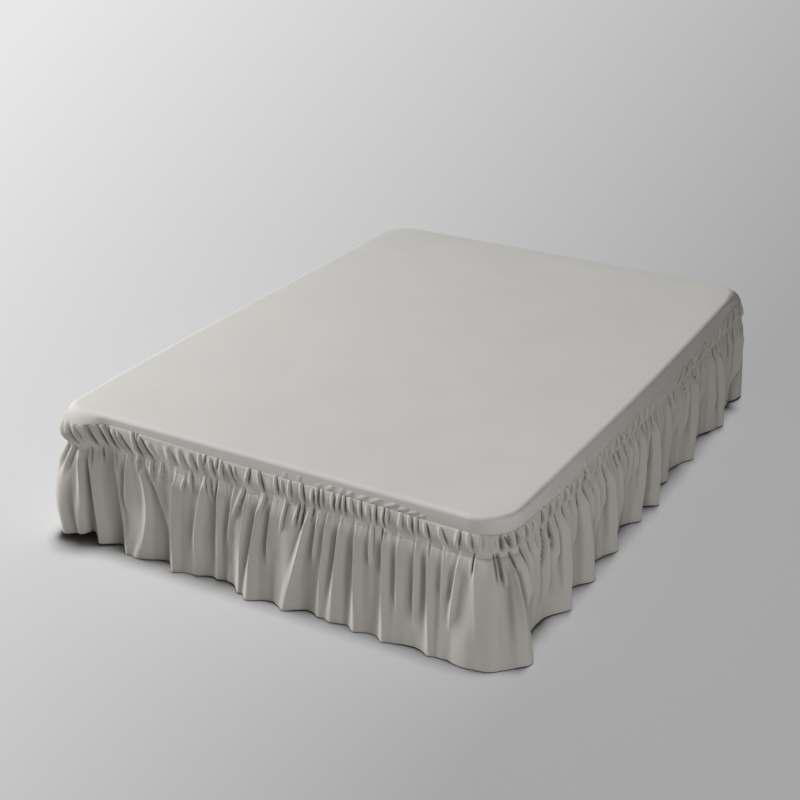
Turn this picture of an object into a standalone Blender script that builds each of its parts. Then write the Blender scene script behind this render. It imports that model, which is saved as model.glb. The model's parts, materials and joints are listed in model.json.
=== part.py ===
"""A gathered bed skirt with its deck and header band, fitted on a plain bed base with six feet.

Metres, +Z up. The floor is z = 0, and the origin is under the middle of the skirt's whole outline. The foot of
the bed is at -Y and its head at +Y. The head side repeats the foot's folds and the left side the right's, turned
half round.
"""

import math
from typing import NamedTuple

import bmesh
import bpy
import numpy as np

# The bed inside the cloth.
WIDTH = 1.51
LENGTH = 2.04
HEIGHT = 0.45
NEAR_CORNER = 0.12  # at the foot's right and the head's left
FAR_CORNER = 0.06  # at the foot's left and the head's right
BASE_BOTTOM = 0.10
BASE_INSET = 0.0045
BASE_ROLL = 0.022

# Heights of the seams.
SEAM = 0.405
WAIST = 0.325
HEM = 0.014

# Cloth.
THICK = 0.002
WALL = 0.0025
GAP = 0.0003
DECK_ROLL = 0.018
ROLL_STEPS = 4
CORNER_STEPS = 7
BESIDE_CORNER = (0.03, 0.07, 0.12)
WAIST_OUT = 0.0025
GATHER = 0.006
GATHER_SHARE = 0.12
RISE = 0.55
KEPT_AT_HEM = 0.45
BAND_PUFF = 0.013
SKIRT_SHARES = (0.0, 0.09, 0.38, 1.0)
BAND_SHARES = (0.0, 0.45, 1.0)

# Feet.
FOOT_SIZE = 0.08
FOOT_PROUD = 0.002
FOOT_EDGE = 0.02
MIDDLE_FOOT_INSET = 0.03


class Fold(NamedTuple):
    """A ridge of the skirt. Places are distances along the side from its middle, in metres."""

    at_waist: float
    at_hem: float
    depth: float
    runs: float  # share of the drop down which it shows
    flank: float  # share of the gap before its crest that rises to it


class Wave(NamedTuple):
    """A turning point of the hem's broad waves."""

    along: float
    out: float
    lift: float


class Bulge(NamedTuple):
    """How much further out the cloth stands at a corner, at each of its heights."""

    seam: float
    band: float
    waist: float
    skirt: float


class Pleat(NamedTuple):
    """A pleat of the header band."""

    at_seam: float
    at_waist: float
    depth: float


FOOT_FOLDS = [
    Fold(-0.720, -0.722, 0.018, 0.9, 0.45),
    Fold(-0.695, -0.655, 0.020, 1.0, 0.30),
    Fold(-0.632, -0.600, 0.012, 0.5, 0.35),
    Fold(-0.595, -0.538, 0.024, 1.0, 0.25),
    Fold(-0.545, -0.515, 0.016, 0.6, 0.50),
    Fold(-0.500, -0.480, 0.018, 0.9, 0.50),
    Fold(-0.468, -0.400, 0.010, 0.6, 0.50),
    Fold(-0.435, -0.378, 0.010, 0.3, 0.30),
    Fold(-0.357, -0.350, 0.024, 1.0, 0.45),
    Fold(-0.305, -0.312, 0.010, 0.3, 0.40),
    Fold(-0.250, -0.270, 0.016, 0.9, 0.40),
    Fold(-0.194, -0.198, 0.018, 0.9, 0.50),
    Fold(-0.140, -0.152, 0.014, 0.8, 0.50),
    Fold(-0.092, -0.100, 0.018, 1.0, 0.30),
    Fold(-0.042, -0.060, 0.020, 1.0, 0.35),
    Fold(0.002, -0.012, 0.014, 0.8, 0.25),
    Fold(0.051, 0.035, 0.012, 0.4, 0.30),
    Fold(0.128, 0.068, 0.024, 1.0, 0.60),
    Fold(0.160, 0.140, 0.012, 0.6, 0.40),
    Fold(0.190, 0.176, 0.016, 1.0, 0.25),
    Fold(0.237, 0.222, 0.018, 1.0, 0.35),
    Fold(0.288, 0.308, 0.018, 1.0, 0.35),
    Fold(0.338, 0.350, 0.014, 0.4, 0.30),
    Fold(0.380, 0.405, 0.018, 1.0, 0.35),
    Fold(0.425, 0.452, 0.014, 0.8, 0.30),
    Fold(0.484, 0.505, 0.014, 0.8, 0.35),
    Fold(0.522, 0.556, 0.016, 1.0, 0.30),
    Fold(0.573, 0.590, 0.012, 0.5, 0.30),
    Fold(0.623, 0.620, 0.016, 0.7, 0.35),
    Fold(0.662, 0.668, 0.020, 1.0, 0.45),
    Fold(0.704, 0.712, 0.012, 0.4, 0.40),
]

SIDE_FOLDS = [
    Fold(-0.980, -0.955, 0.016, 1.0, 0.50),
    Fold(-0.935, -0.900, 0.014, 0.6, 0.40),
    Fold(-0.895, -0.850, 0.014, 0.7, 0.40),
    Fold(-0.850, -0.800, 0.016, 0.9, 0.40),
    Fold(-0.785, -0.745, 0.018, 0.9, 0.45),
    Fold(-0.720, -0.705, 0.014, 0.5, 0.40),
    Fold(-0.672, -0.670, 0.022, 1.0, 0.50),
    Fold(-0.620, -0.625, 0.012, 0.5, 0.40),
    Fold(-0.573, -0.570, 0.012, 0.6, 0.40),
    Fold(-0.522, -0.480, 0.018, 1.0, 0.50),
    Fold(-0.468, -0.430, 0.012, 0.5, 0.40),
    Fold(-0.422, -0.385, 0.014, 0.7, 0.40),
    Fold(-0.375, -0.335, 0.012, 0.5, 0.40),
    Fold(-0.325, -0.290, 0.020, 1.0, 0.50),
    Fold(-0.255, -0.215, 0.016, 0.9, 0.40),
    Fold(-0.190, -0.170, 0.012, 0.5, 0.40),
    Fold(-0.140, -0.135, 0.014, 0.6, 0.40),
    Fold(-0.092, -0.105, 0.012, 0.5, 0.40),
    Fold(-0.047, -0.070, 0.020, 1.0, 0.50),
    Fold(0.005, 0.010, 0.012, 0.6, 0.40),
    Fold(0.051, 0.063, 0.020, 1.0, 0.50),
    Fold(0.091, 0.105, 0.010, 0.3, 0.40),
    Fold(0.137, 0.150, 0.010, 0.4, 0.40),
    Fold(0.225, 0.235, 0.014, 1.0, 0.50),
    Fold(0.317, 0.310, 0.016, 0.6, 0.40),
    Fold(0.391, 0.375, 0.014, 0.7, 0.40),
    Fold(0.460, 0.437, 0.022, 1.0, 0.50),
    Fold(0.510, 0.500, 0.012, 0.5, 0.40),
    Fold(0.587, 0.590, 0.012, 0.6, 0.40),
    Fold(0.660, 0.700, 0.016, 0.9, 0.50),
    Fold(0.725, 0.750, 0.020, 1.0, 0.50),
    Fold(0.788, 0.810, 0.014, 0.5, 0.40),
    Fold(0.870, 0.875, 0.014, 0.8, 0.40),
    Fold(0.945, 0.950, 0.020, 1.0, 0.50),
]

FOOT_HEM = [
    Wave(-0.729, 0.098, 0.006),
    Wave(-0.690, 0.047, 0.016),
    Wave(-0.655, 0.043, 0.004),
    Wave(-0.590, 0.018, 0.004),
    Wave(-0.538, 0.052, 0.000),
    Wave(-0.480, 0.048, 0.000),
    Wave(-0.400, 0.028, 0.003),
    Wave(-0.350, 0.056, 0.000),
    Wave(-0.280, 0.050, 0.000),
    Wave(-0.210, 0.028, 0.003),
    Wave(-0.150, 0.034, 0.003),
    Wave(-0.095, 0.062, 0.000),
    Wave(-0.055, 0.078, 0.000),
    Wave(0.015, 0.058, 0.002),
    Wave(0.068, 0.070, 0.000),
    Wave(0.138, 0.046, 0.003),
    Wave(0.200, 0.054, 0.000),
    Wave(0.270, 0.052, 0.001),
    Wave(0.315, 0.064, 0.000),
    Wave(0.365, 0.055, 0.000),
    Wave(0.415, 0.068, 0.000),
    Wave(0.505, 0.054, 0.002),
    Wave(0.560, 0.062, 0.000),
    Wave(0.615, 0.056, 0.001),
    Wave(0.665, 0.072, 0.000),
    Wave(0.705, 0.088, 0.000),
]

SIDE_HEM = [
    Wave(-0.999, 0.084, 0.000),
    Wave(-0.960, 0.070, 0.001),
    Wave(-0.850, 0.006, 0.004),
    Wave(-0.770, 0.010, 0.004),
    Wave(-0.672, 0.052, 0.000),
    Wave(-0.575, 0.014, 0.003),
    Wave(-0.480, 0.048, 0.000),
    Wave(-0.385, 0.020, 0.003),
    Wave(-0.287, 0.044, 0.000),
    Wave(-0.145, 0.007, 0.004),
    Wave(-0.070, 0.040, 0.000),
    Wave(0.010, 0.020, 0.003),
    Wave(0.063, 0.052, 0.000),
    Wave(0.180, 0.012, 0.004),
    Wave(0.240, 0.020, 0.002),
    Wave(0.305, 0.008, 0.004),
    Wave(0.437, 0.036, 0.000),
    Wave(0.585, 0.003, 0.005),
    Wave(0.745, 0.048, 0.000),
    Wave(0.860, 0.016, 0.004),
    Wave(0.940, 0.060, 0.002),
]

FOOT_PLEATS = [
    Pleat(-0.735, -0.712, 0.012),
    Pleat(-0.700, -0.672, 0.012),
    Pleat(-0.655, -0.628, 0.010),
    Pleat(-0.620, -0.597, 0.010),
    Pleat(-0.592, -0.555, 0.010),
    Pleat(-0.568, -0.528, 0.009),
    Pleat(-0.506, -0.498, 0.011),
    Pleat(-0.480, -0.445, 0.011),
    Pleat(-0.400, -0.372, 0.003),
    Pleat(-0.322, -0.300, 0.003),
    Pleat(-0.262, -0.246, 0.008),
    Pleat(-0.228, -0.206, 0.009),
    Pleat(-0.185, -0.184, 0.008),
    Pleat(-0.160, -0.140, 0.008),
    Pleat(-0.104, -0.104, 0.009),
    Pleat(-0.066, -0.050, 0.009),
    Pleat(-0.012, -0.002, 0.008),
    Pleat(0.022, 0.024, 0.007),
    Pleat(0.054, 0.054, 0.008),
    Pleat(0.095, 0.104, 0.008),
    Pleat(0.145, 0.148, 0.009),
    Pleat(0.198, 0.198, 0.008),
    Pleat(0.226, 0.216, 0.009),
    Pleat(0.262, 0.268, 0.008),
    Pleat(0.318, 0.318, 0.008),
    Pleat(0.358, 0.350, 0.009),
    Pleat(0.382, 0.382, 0.008),
    Pleat(0.426, 0.426, 0.008),
    Pleat(0.454, 0.464, 0.008),
    Pleat(0.500, 0.504, 0.008),
    Pleat(0.545, 0.566, 0.008),
    Pleat(0.606, 0.602, 0.008),
    Pleat(0.642, 0.650, 0.007),
    Pleat(0.700, 0.704, 0.006),
]

SIDE_PLEATS = [
    Pleat(-0.985, -0.960, 0.010),
    Pleat(-0.940, -0.930, 0.010),
    Pleat(-0.905, -0.898, 0.008),
    Pleat(-0.865, -0.858, 0.008),
    Pleat(-0.812, -0.800, 0.006),
    Pleat(-0.740, -0.722, 0.009),
    Pleat(-0.690, -0.672, 0.009),
    Pleat(-0.632, -0.622, 0.008),
    Pleat(-0.580, -0.568, 0.008),
    Pleat(-0.520, -0.500, 0.006),
    Pleat(-0.468, -0.462, 0.009),
    Pleat(-0.415, -0.405, 0.009),
    Pleat(-0.360, -0.350, 0.008),
    Pleat(-0.300, -0.290, 0.007),
    Pleat(-0.230, -0.215, 0.009),
    Pleat(-0.180, -0.165, 0.009),
    Pleat(-0.130, -0.115, 0.008),
    Pleat(-0.075, -0.068, 0.008),
    Pleat(-0.020, -0.002, 0.007),
    Pleat(0.050, 0.055, 0.006),
    Pleat(0.110, 0.120, 0.004),
    Pleat(0.200, 0.210, 0.003),
    Pleat(0.300, 0.270, 0.008),
    Pleat(0.360, 0.320, 0.009),
    Pleat(0.430, 0.385, 0.007),
    Pleat(0.500, 0.440, 0.008),
    Pleat(0.590, 0.520, 0.009),
    Pleat(0.660, 0.600, 0.007),
    Pleat(0.740, 0.690, 0.008),
    Pleat(0.820, 0.790, 0.008),
    Pleat(0.900, 0.885, 0.009),
    Pleat(0.965, 0.955, 0.012),
]

BULGES = {
    "foot_left": Bulge(0.062, 0.020, 0.052, 0.024),
    "head_right": Bulge(0.008, 0.008, 0.008, 0.004),
}
BULGE_REACH = 0.13

# The bed's outline goes from side to side: foot, right, head and left. Each side's corner is at its end.
HALF_SIZES = np.array([WIDTH, LENGTH, WIDTH, LENGTH]) / 2
CORNERS = np.array([NEAR_CORNER, FAR_CORNER, NEAR_CORNER, FAR_CORNER])
CORNERS_BEFORE = np.roll(CORNERS, 1)
ARCS = CORNERS * math.pi / 2
RUNS = 2 * HALF_SIZES - CORNERS - CORNERS_BEFORE
STARTS = CORNERS_BEFORE[0] - HALF_SIZES[0] + np.concatenate([[0.0], np.cumsum(RUNS + ARCS)[:3]])
AROUND = float(np.sum(RUNS + ARCS))
SIDE_MIDDLES = STARTS - CORNERS_BEFORE + HALF_SIZES
FAR_PLACES = {
    "foot_left": float(STARTS[0] - FAR_CORNER * math.pi / 4),
    "head_right": float(STARTS[2] - FAR_CORNER * math.pi / 4),
}

CLOTH_COLOR = (0.46, 0.44, 0.40, 1.0)
BASE_COLOR = (0.55, 0.53, 0.50, 1.0)
FOOT_COLOR = (0.01, 0.01, 0.01, 1.0)


def place(along, out):
    """Plan points at a distance round the bed's outline from the middle of the foot, and a distance out from it."""
    along = np.mod(np.asarray(along, float) - STARTS[0], AROUND) + STARTS[0]
    side = np.searchsorted(STARTS, along, side="right") - 1
    ahead = along - STARTS[side]
    on_run = np.minimum(ahead, RUNS[side])
    radius = CORNERS[side]
    heading = side * math.pi / 2
    turn = heading + (ahead - on_run) / radius
    forward = np.stack([np.cos(heading), np.sin(heading)], -1)
    outward = np.stack([np.sin(heading), -np.cos(heading)], -1)
    normal = np.stack([np.sin(turn), -np.cos(turn)], -1)
    depth = HALF_SIZES[(side + 1) % 4] - radius
    step = on_run - (HALF_SIZES - CORNERS_BEFORE)[side]
    centre = depth[..., None] * outward + step[..., None] * forward
    return centre + normal * (radius + np.asarray(out, float))[..., None], normal


def ease(share):
    return share * share * (3 - 2 * share)


def hem_waves(along, column):
    """One column of the hem's waves at places round the bed, eased between its turning points."""
    places = []
    values = []
    for middle, waves in zip(SIDE_MIDDLES, (FOOT_HEM, SIDE_HEM, FOOT_HEM, SIDE_HEM)):
        places += [middle + wave.along for wave in waves]
        values += [getattr(wave, column) for wave in waves]
    places = np.array(places)
    values = np.array(values)
    order = np.argsort(np.mod(places, AROUND))
    places = np.mod(places, AROUND)[order]
    values = values[order]
    places = np.concatenate([places[-1:] - AROUND, places, places[:1] + AROUND])
    values = np.concatenate([values[-1:], values, values[:1]])
    along = np.mod(along, AROUND)
    after = np.clip(np.searchsorted(places, along, side="right"), 1, len(places) - 1)
    share = (along - places[after - 1]) / (places[after] - places[after - 1])
    return values[after - 1] + (values[after] - values[after - 1]) * ease(share)


def bulging(along, column):
    """One column of the corners' bulges at places round the bed."""
    total = np.zeros_like(along)
    for corner, bulge in BULGES.items():
        away = np.abs(np.mod(along - FAR_PLACES[corner] + AROUND / 2, AROUND) - AROUND / 2)
        total += getattr(bulge, column) * ease(1 - np.minimum(1.0, away / BULGE_REACH))
    return total


def rows_round(foot_rows, side_rows, top, bottom):
    """(place at the top, place at the bottom, row) for every row, in order round the bed."""
    lines = []
    for middle, rows in zip(SIDE_MIDDLES, (foot_rows, side_rows, foot_rows, side_rows)):
        for row in rows:
            lines.append((middle + getattr(row, top), middle + getattr(row, bottom), row))
    return lines


def fold_height(fold, share):
    """How far a crest stands out from the cloth beside it, at a share of the drop."""
    grown = ease(min(1.0, share / GATHER_SHARE))
    faded = 1 - ease(min(1.0, max(0.0, share - 0.6 * fold.runs) / (0.4 * fold.runs)))
    if fold.runs >= 1.0:
        faded = KEPT_AT_HEM + (1 - KEPT_AT_HEM) * faded
    return GATHER * (1 - grown) + fold.depth * grown * faded


def skirt_surface():
    """The skirt's outer points: three columns a fold, on its crest, its panel and its crease."""
    lines = rows_round(FOOT_FOLDS, SIDE_FOLDS, "at_waist", "at_hem")
    points = []
    normals = []
    for index, (top, bottom, fold) in enumerate(lines):
        lap = AROUND if index == len(lines) - 1 else 0.0
        next_top, next_bottom, next_fold = lines[(index + 1) % len(lines)]
        for across, height in ((0.0, 1.0), (0.45, 0.35), (1.0, 0.0)):
            column = []
            column_normals = []
            for share in SKIRT_SHARES:
                crest = top + (bottom - top) * share
                next_crest = next_top + lap + (next_bottom - next_top) * share
                along = crest + (next_crest - crest) * across * (1 - next_fold.flank)
                spread = share**RISE
                out = WAIST_OUT + hem_waves(along, "out") * spread + height * fold_height(fold, share)
                out += bulging(along, "waist") * (1 - share) + bulging(along, "skirt") * math.sin(math.pi * share)
                low = HEM + hem_waves(along, "lift")
                plan, normal = place(along, out)
                level = (WAIST - GAP) + (low - (WAIST - GAP)) * share
                column.append((plan[0], plan[1], level))
                column_normals.append((normal[0], normal[1], 0.0))
            points.append(column)
            normals.append(column_normals)
    return np.array(points), np.array(normals)


def band_surface():
    """The header band's outer points: two columns a pleat, on its crest and its crease."""
    lines = rows_round(FOOT_PLEATS, SIDE_PLEATS, "at_seam", "at_waist")
    points = []
    normals = []
    for index, (top, bottom, pleat) in enumerate(lines):
        lap = AROUND if index == len(lines) - 1 else 0.0
        next_top, next_bottom, _ = lines[(index + 1) % len(lines)]
        for across, height in ((0.0, 1.0), (0.6, 0.0)):
            column = []
            column_normals = []
            for share in BAND_SHARES:
                crest = top + (bottom - top) * share
                next_crest = next_top + lap + (next_bottom - next_top) * share
                along = crest + (next_crest - crest) * across
                puff = math.sin(math.pi * share)
                out = WAIST_OUT + (BAND_PUFF + bulging(along, "band")) * puff
                out += bulging(along, "seam") * (1 - share) + bulging(along, "waist") * share
                out += height * pleat.depth * (0.3 + 0.7 * puff)
                plan, normal = place(along, out)
                level = SEAM + (WAIST - SEAM) * share
                column.append((plan[0], plan[1], level))
                column_normals.append((normal[0], normal[1], 0.0))
            points.append(column)
            normals.append(column_normals)
    return np.array(points), np.array(normals)


def material(name, color, roughness):
    made = bpy.data.materials.new(name)
    made.use_nodes = True
    shader = made.node_tree.nodes["Principled BSDF"]
    shader.inputs["Base Color"].default_value = color
    shader.inputs["Roughness"].default_value = roughness
    shader.inputs["Metallic"].default_value = 0.0
    return made


def make_object(name, points, faces, finish, smooth_angle):
    mesh = bpy.data.meshes.new(name)
    mesh.from_pydata([tuple(point) for point in points], [], faces)
    shape = bmesh.new()
    shape.from_mesh(mesh)
    bmesh.ops.recalc_face_normals(shape, faces=shape.faces)
    shape.to_mesh(mesh)
    shape.free()
    mesh.shade_smooth()
    mesh.set_sharp_from_angle(angle=math.radians(smooth_angle))
    mesh.materials.append(finish)
    made = bpy.data.objects.new(name, mesh)
    bpy.context.scene.collection.objects.link(made)
    return made


def cloth_ring(name, surface, normals, finish):
    """A closed ring of cloth: its outer points, and the same points one wall further in."""
    columns, levels = surface.shape[:2]
    count = columns * levels
    points = np.concatenate([surface.reshape(-1, 3), (surface - normals * WALL).reshape(-1, 3)])
    faces = []
    for column in range(columns):
        here = column * levels
        there = (column + 1) % columns * levels
        for level in range(levels - 1):
            corners = (here + level, there + level, there + level + 1, here + level + 1)
            a, b, c, d = corners
            faces += [(a, b, c), (a, c, d)]
            faces += [(count + a, count + c, count + b), (count + a, count + d, count + c)]
        last = levels - 1
        faces.append((here, here + count, there + count, there))
        faces.append((here + last, there + last, there + last + count, here + last + count))
    return make_object(name, points, faces, finish, 40)


def outline_rings(profile, beside):
    """Rings of points round the bed, one for each (out, height) of the profile, and how many points a ring has.

    The rings follow the corners' bulges down to the seam, with extra points beside the corners that bulge.
    """
    places = []
    for start, run, arc in zip(STARTS, RUNS, ARCS):
        places += [start + run - step for step in beside]
        places += list(start + run + np.linspace(0.0, arc, CORNER_STEPS))
        places += [start + run + arc + step for step in beside]
    places = np.sort(np.array(places))
    rings = []
    for out, height in profile:
        lean = bulging(places, "seam") * (HEIGHT - height) / (HEIGHT - SEAM) if beside else 0.0
        plan, _ = place(places, np.full(len(places), out) + lean)
        rings.append(np.column_stack([plan, np.full(len(places), height)]))
    return np.concatenate(rings), len(places)


def roll(out, top, radius):
    """The (out, height) points of an edge rolled from a side face up onto the top."""
    angles = np.linspace(0.0, math.pi / 2, ROLL_STEPS + 1)
    return [(out - radius + radius * math.cos(a), top - radius + radius * math.sin(a)) for a in angles]


def ring_faces(count, first, second):
    """Quads between two rings, given the index of each ring's first point."""
    return [
        (first + i, first + (i + 1) % count, second + (i + 1) % count, second + i)
        for i in range(count)
    ]


def deck(finish):
    """The top panel and its drop: an outer skin, an inner skin and the rim that joins them."""
    outer = [(0.0, SEAM + GAP)] + roll(0.0, HEIGHT, DECK_ROLL)
    inner = [(-THICK, SEAM + GAP)] + roll(-THICK, HEIGHT - THICK, DECK_ROLL - THICK)
    profile = outer + inner
    points, count = outline_rings(profile, BESIDE_CORNER)
    levels = len(outer)
    faces = ring_faces(count, levels * count, 0)
    for level in range(levels - 1):
        faces += ring_faces(count, level * count, (level + 1) * count)
        faces += ring_faces(count, (levels + level + 1) * count, (levels + level) * count)
    faces.append(tuple(range((levels - 1) * count, levels * count)))
    faces.append(tuple(reversed(range((2 * levels - 1) * count, 2 * levels * count))))
    return make_object("deck", points, faces, finish, 40)


def bed_base(finish):
    """The plain block that the skirt fits, rounded along its top edge."""
    profile = [(-BASE_INSET, BASE_BOTTOM)] + roll(-BASE_INSET, HEIGHT - THICK - GAP, BASE_ROLL)
    points, count = outline_rings(profile, ())
    faces = [tuple(reversed(range(count)))]
    for level in range(len(profile) - 1):
        faces += ring_faces(count, level * count, (level + 1) * count)
    faces.append(tuple(range((len(profile) - 1) * count, len(profile) * count)))
    return make_object("bed_base", points, faces, finish, 40)


def foot(number, x, y, finish):
    """A square block foot with bevelled edges, from the floor to the base."""
    height = BASE_BOTTOM - GAP
    shape = bmesh.new()
    bmesh.ops.create_cube(shape, size=1.0)
    bmesh.ops.scale(shape, vec=(FOOT_SIZE, FOOT_SIZE, height), verts=shape.verts)
    upright = [edge for edge in shape.edges if abs(edge.verts[0].co.z - edge.verts[1].co.z) > height / 2]
    bmesh.ops.bevel(shape, geom=upright, offset=FOOT_EDGE, segments=3, affect="EDGES", profile=0.5)
    mesh = bpy.data.meshes.new(f"foot_{number}")
    shape.to_mesh(mesh)
    shape.free()
    mesh.materials.append(finish)
    made = bpy.data.objects.new(f"foot_{number}", mesh)
    made.location = (x, y, height / 2)
    bpy.context.scene.collection.objects.link(made)
    return made


def centre_over_origin():
    """Moves all the pieces so that the middle of the skirt's outline is over the origin."""
    skirt = bpy.data.objects["skirt"]
    corners = np.array(skirt.bound_box)
    middle = (corners.min(axis=0) + corners.max(axis=0)) / 2
    for piece in bpy.context.scene.collection.objects:
        piece.location.x -= middle[0]
        piece.location.y -= middle[1]


def main():
    for old in list(bpy.data.objects):
        bpy.data.objects.remove(old, do_unlink=True)
    cloth = material("cloth", CLOTH_COLOR, 0.85)
    deck(cloth)
    cloth_ring("header_band", *band_surface(), cloth)
    cloth_ring("skirt", *skirt_surface(), cloth)
    bed_base(material("bed", BASE_COLOR, 0.9))
    feet = material("foot", FOOT_COLOR, 0.5)
    foot_x = WIDTH / 2 + FOOT_PROUD - FOOT_SIZE / 2
    foot_y = LENGTH / 2 + FOOT_PROUD - FOOT_SIZE / 2
    rows = [(-foot_y, foot_x), (0.0, foot_x - MIDDLE_FOOT_INSET), (foot_y, foot_x)]
    spots = [(x, y) for y, reach in rows for x in (-reach, reach)]
    for number, (x, y) in enumerate(spots, 1):
        foot(number, x, y, feet)
    centre_over_origin()


main()
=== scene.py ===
"""A gathered bed skirt: a smooth deck, a ruched header band and a gathered skirt, on a bed base with feet.

Metres, +Z up. The three cloth pieces are sheets in the folds of their CAD solids, which they replace. The
base and the feet keep their CAD shape. Places round the bed are distances from the middle of the foot.
"""

import json
import math
from typing import NamedTuple

import bpy
import numpy as np
from mathutils import Matrix, Vector

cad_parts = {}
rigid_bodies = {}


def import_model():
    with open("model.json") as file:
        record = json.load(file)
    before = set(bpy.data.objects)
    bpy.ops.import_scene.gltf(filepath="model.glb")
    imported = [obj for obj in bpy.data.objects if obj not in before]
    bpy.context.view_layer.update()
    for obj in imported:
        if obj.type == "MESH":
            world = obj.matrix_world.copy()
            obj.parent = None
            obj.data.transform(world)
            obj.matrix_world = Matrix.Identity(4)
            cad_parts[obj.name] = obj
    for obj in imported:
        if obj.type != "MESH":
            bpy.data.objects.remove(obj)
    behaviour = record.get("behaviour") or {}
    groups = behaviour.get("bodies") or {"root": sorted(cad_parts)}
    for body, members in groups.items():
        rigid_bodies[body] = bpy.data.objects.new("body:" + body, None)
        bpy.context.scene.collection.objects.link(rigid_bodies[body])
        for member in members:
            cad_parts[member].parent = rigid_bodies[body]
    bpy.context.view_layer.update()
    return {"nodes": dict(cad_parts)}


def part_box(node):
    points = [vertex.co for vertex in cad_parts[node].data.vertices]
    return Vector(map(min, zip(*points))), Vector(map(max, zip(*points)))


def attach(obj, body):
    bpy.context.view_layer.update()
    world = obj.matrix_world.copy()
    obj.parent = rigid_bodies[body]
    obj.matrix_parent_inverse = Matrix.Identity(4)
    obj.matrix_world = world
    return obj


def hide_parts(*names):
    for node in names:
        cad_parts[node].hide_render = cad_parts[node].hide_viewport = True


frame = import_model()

bl_info = {
    "name": "Gathered bed skirt",
    "version": (1, 0, 0),
    "blender": (4, 5, 0),
    "location": "View3D > Sidebar > Bed Skirt",
    "description": "Makes a bed skirt's deck, header band and gathered skirt round a bed base",
    "category": "Object",
}

BASE_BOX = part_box("bed_base")
DECK_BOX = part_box("deck")
BAND_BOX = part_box("header_band")
SKIRT_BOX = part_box("skirt")

BASE_INSET = 0.0045
CENTRE = np.array([(BASE_BOX[0][0] + BASE_BOX[1][0]) / 2, (BASE_BOX[0][1] + BASE_BOX[1][1]) / 2])
WIDTH = BASE_BOX[1][0] - BASE_BOX[0][0] + 2 * BASE_INSET
LENGTH = BASE_BOX[1][1] - BASE_BOX[0][1] + 2 * BASE_INSET
HEIGHT = DECK_BOX[1][2]
SEAM = BAND_BOX[1][2]
WAIST = BAND_BOX[0][2]
HEM_DROP = 0.0115  # how much lower the cloth's hem hangs than its solid's does
HEM = SKIRT_BOX[0][2] - HEM_DROP
NEAR_CORNER = 0.12
FAR_CORNER = 0.06
GAP = 0.0003

THICK = 0.0012
DECK_THICK = 0.0018
WAIST_OUT = 0.0055
SEAM_LIP = 0.0022
SIDE_LIP_LOST = 0.75  # the share of the seam's lip that the long sides lack
CLEAR = 0.0015  # how far behind the bed's outline a slit may reach
GATHER = 0.006  # how far a fold's crest stands out where the waist draws it in
BAND_PUFF = 0.0055
RISE = 0.85  # how soon down its drop the skirt stands out to its hem, 1 being evenly
BOW = 0.011  # how far the deck's long edges stand out halfway along
SIDE_SLITS_DEEPER = 1.9  # how much deeper the long sides' creases are than their tables say
SIDE_SLACK = math.radians(40)  # how much less the deck's edge turns down along the long sides
SIDE_LEAN = 0.018  # how far the deck's drop leans out along the long sides
SIDE_FULLNESS = 1.3  # how much deeper the long sides' folds are than their table says
FALL = 2.0  # how fast a fold drops behind its crest, 1 being evenly
SIDE_FALL = 1.5  # the same along the long sides, whose folds have their steep side behind
CROWDING = 2.2  # how much closer the columns stand at folds and slits
CROWDING_REACH = 0.009
NEAR_RISE = 0.34  # how much of RISE the near corner gives up, so that it stands out sooner
SHADE_REACH = 0.016  # how far round a crease lies the cloth that its painted shade is measured against
SHADE_START = 0.0005  # how far into a crease the painted shade starts
SHADE_DEPTH = 0.008  # how much further in it is at its darkest
SHADE_TINT = (0.18, 0.15, 0.12)  # the shares of red, green and blue that the cloth keeps where its painted shade is darkest
SHORT_SIDE_SHADE = 0.80  # how dark the painted shade in the foot's and the head's creases is beside the long sides'
TUCK = 0.006  # how far the whole hem stands in from its table's places
SIDE_END = 0.06  # how far before its ends a long side starts to take on its own looks
SIDE_FADE = 0.3  # how far it takes to have them in full
EVEN_STEP = 0.003  # the spacing of the even places at which values round the bed are blended
FINE_FROM, FINE_TO = -0.9, 2.9  # the foot and the right side, which have the closer columns

SKIRT_COLUMNS = (0.0042, 0.0085)  # the spacing of the closer columns, and that of the others
BAND_COLUMNS = (0.0023, 0.0046)
DECK_COLUMNS = 0.0048
SKIRT_ROWS = 25
BAND_ROWS = 27
DECK_ROWS = (12, 8, 16)  # on the flat, round the edge and down the drop
DECK_INNER_ROWS = (4, 4, 8)
SKIRT_UV_FULLNESS = 1.4  # how much longer the flat cloth is than the way round, for the weave
BAND_UV_FULLNESS = (1.15, 1.2)  # how much longer and higher
GATHER_SEED, SKIRT_SEED, BAND_SEED = 11, 5, 23

# The floor's colour paints the light falling on it: it pales round a point, from one bearing to another. Both
# bearings turn back close to the point.
FAN_MIDDLE = (3.5, -6.5)
FAN_NEAR = 2.56
FAN_DARK = 1.595
FAN_LIGHT = 2.122
FAN_BEGINS = 3.0  # how far behind the point the paler floor is at its full

VIEW_LENS = 67.12  # millimetres
VIEW_SENSOR = 36.0
VIEW_END = 200.0
VIEW_FORWARD = (-0.4451, 0.7858, -0.4294)
VIEW_FROM = (2.2241, -4.1928, 2.4828)  # from the floor under the middle of the bed
FLOOR_SIZE = 80.0
SKY_COLOR = (1.0, 0.975, 0.93, 1.0)


class Fold(NamedTuple):
    """A ridge of the skirt. Places are distances along the side from its middle, in metres."""

    at_waist: float
    at_mid: float
    at_hem: float
    depth: float
    flank: float  # width of the steep face before its crest, halfway down
    runs: float  # share of the drop down which it shows


class Crease(NamedTuple):
    """A short ridge with a slit beside it. It starts and ends at shares of the piece's height, from the top."""

    at_start: float
    at_end: float
    start: float
    end: float
    ridge: float
    slit: float
    width: float


class Wave(NamedTuple):
    """A turning point of the hem's broad waves."""

    along: float
    out: float
    lift: float


class Shift(NamedTuple):
    """A turning point of a seam's height above its CAD level."""

    along: float
    up: float


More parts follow.
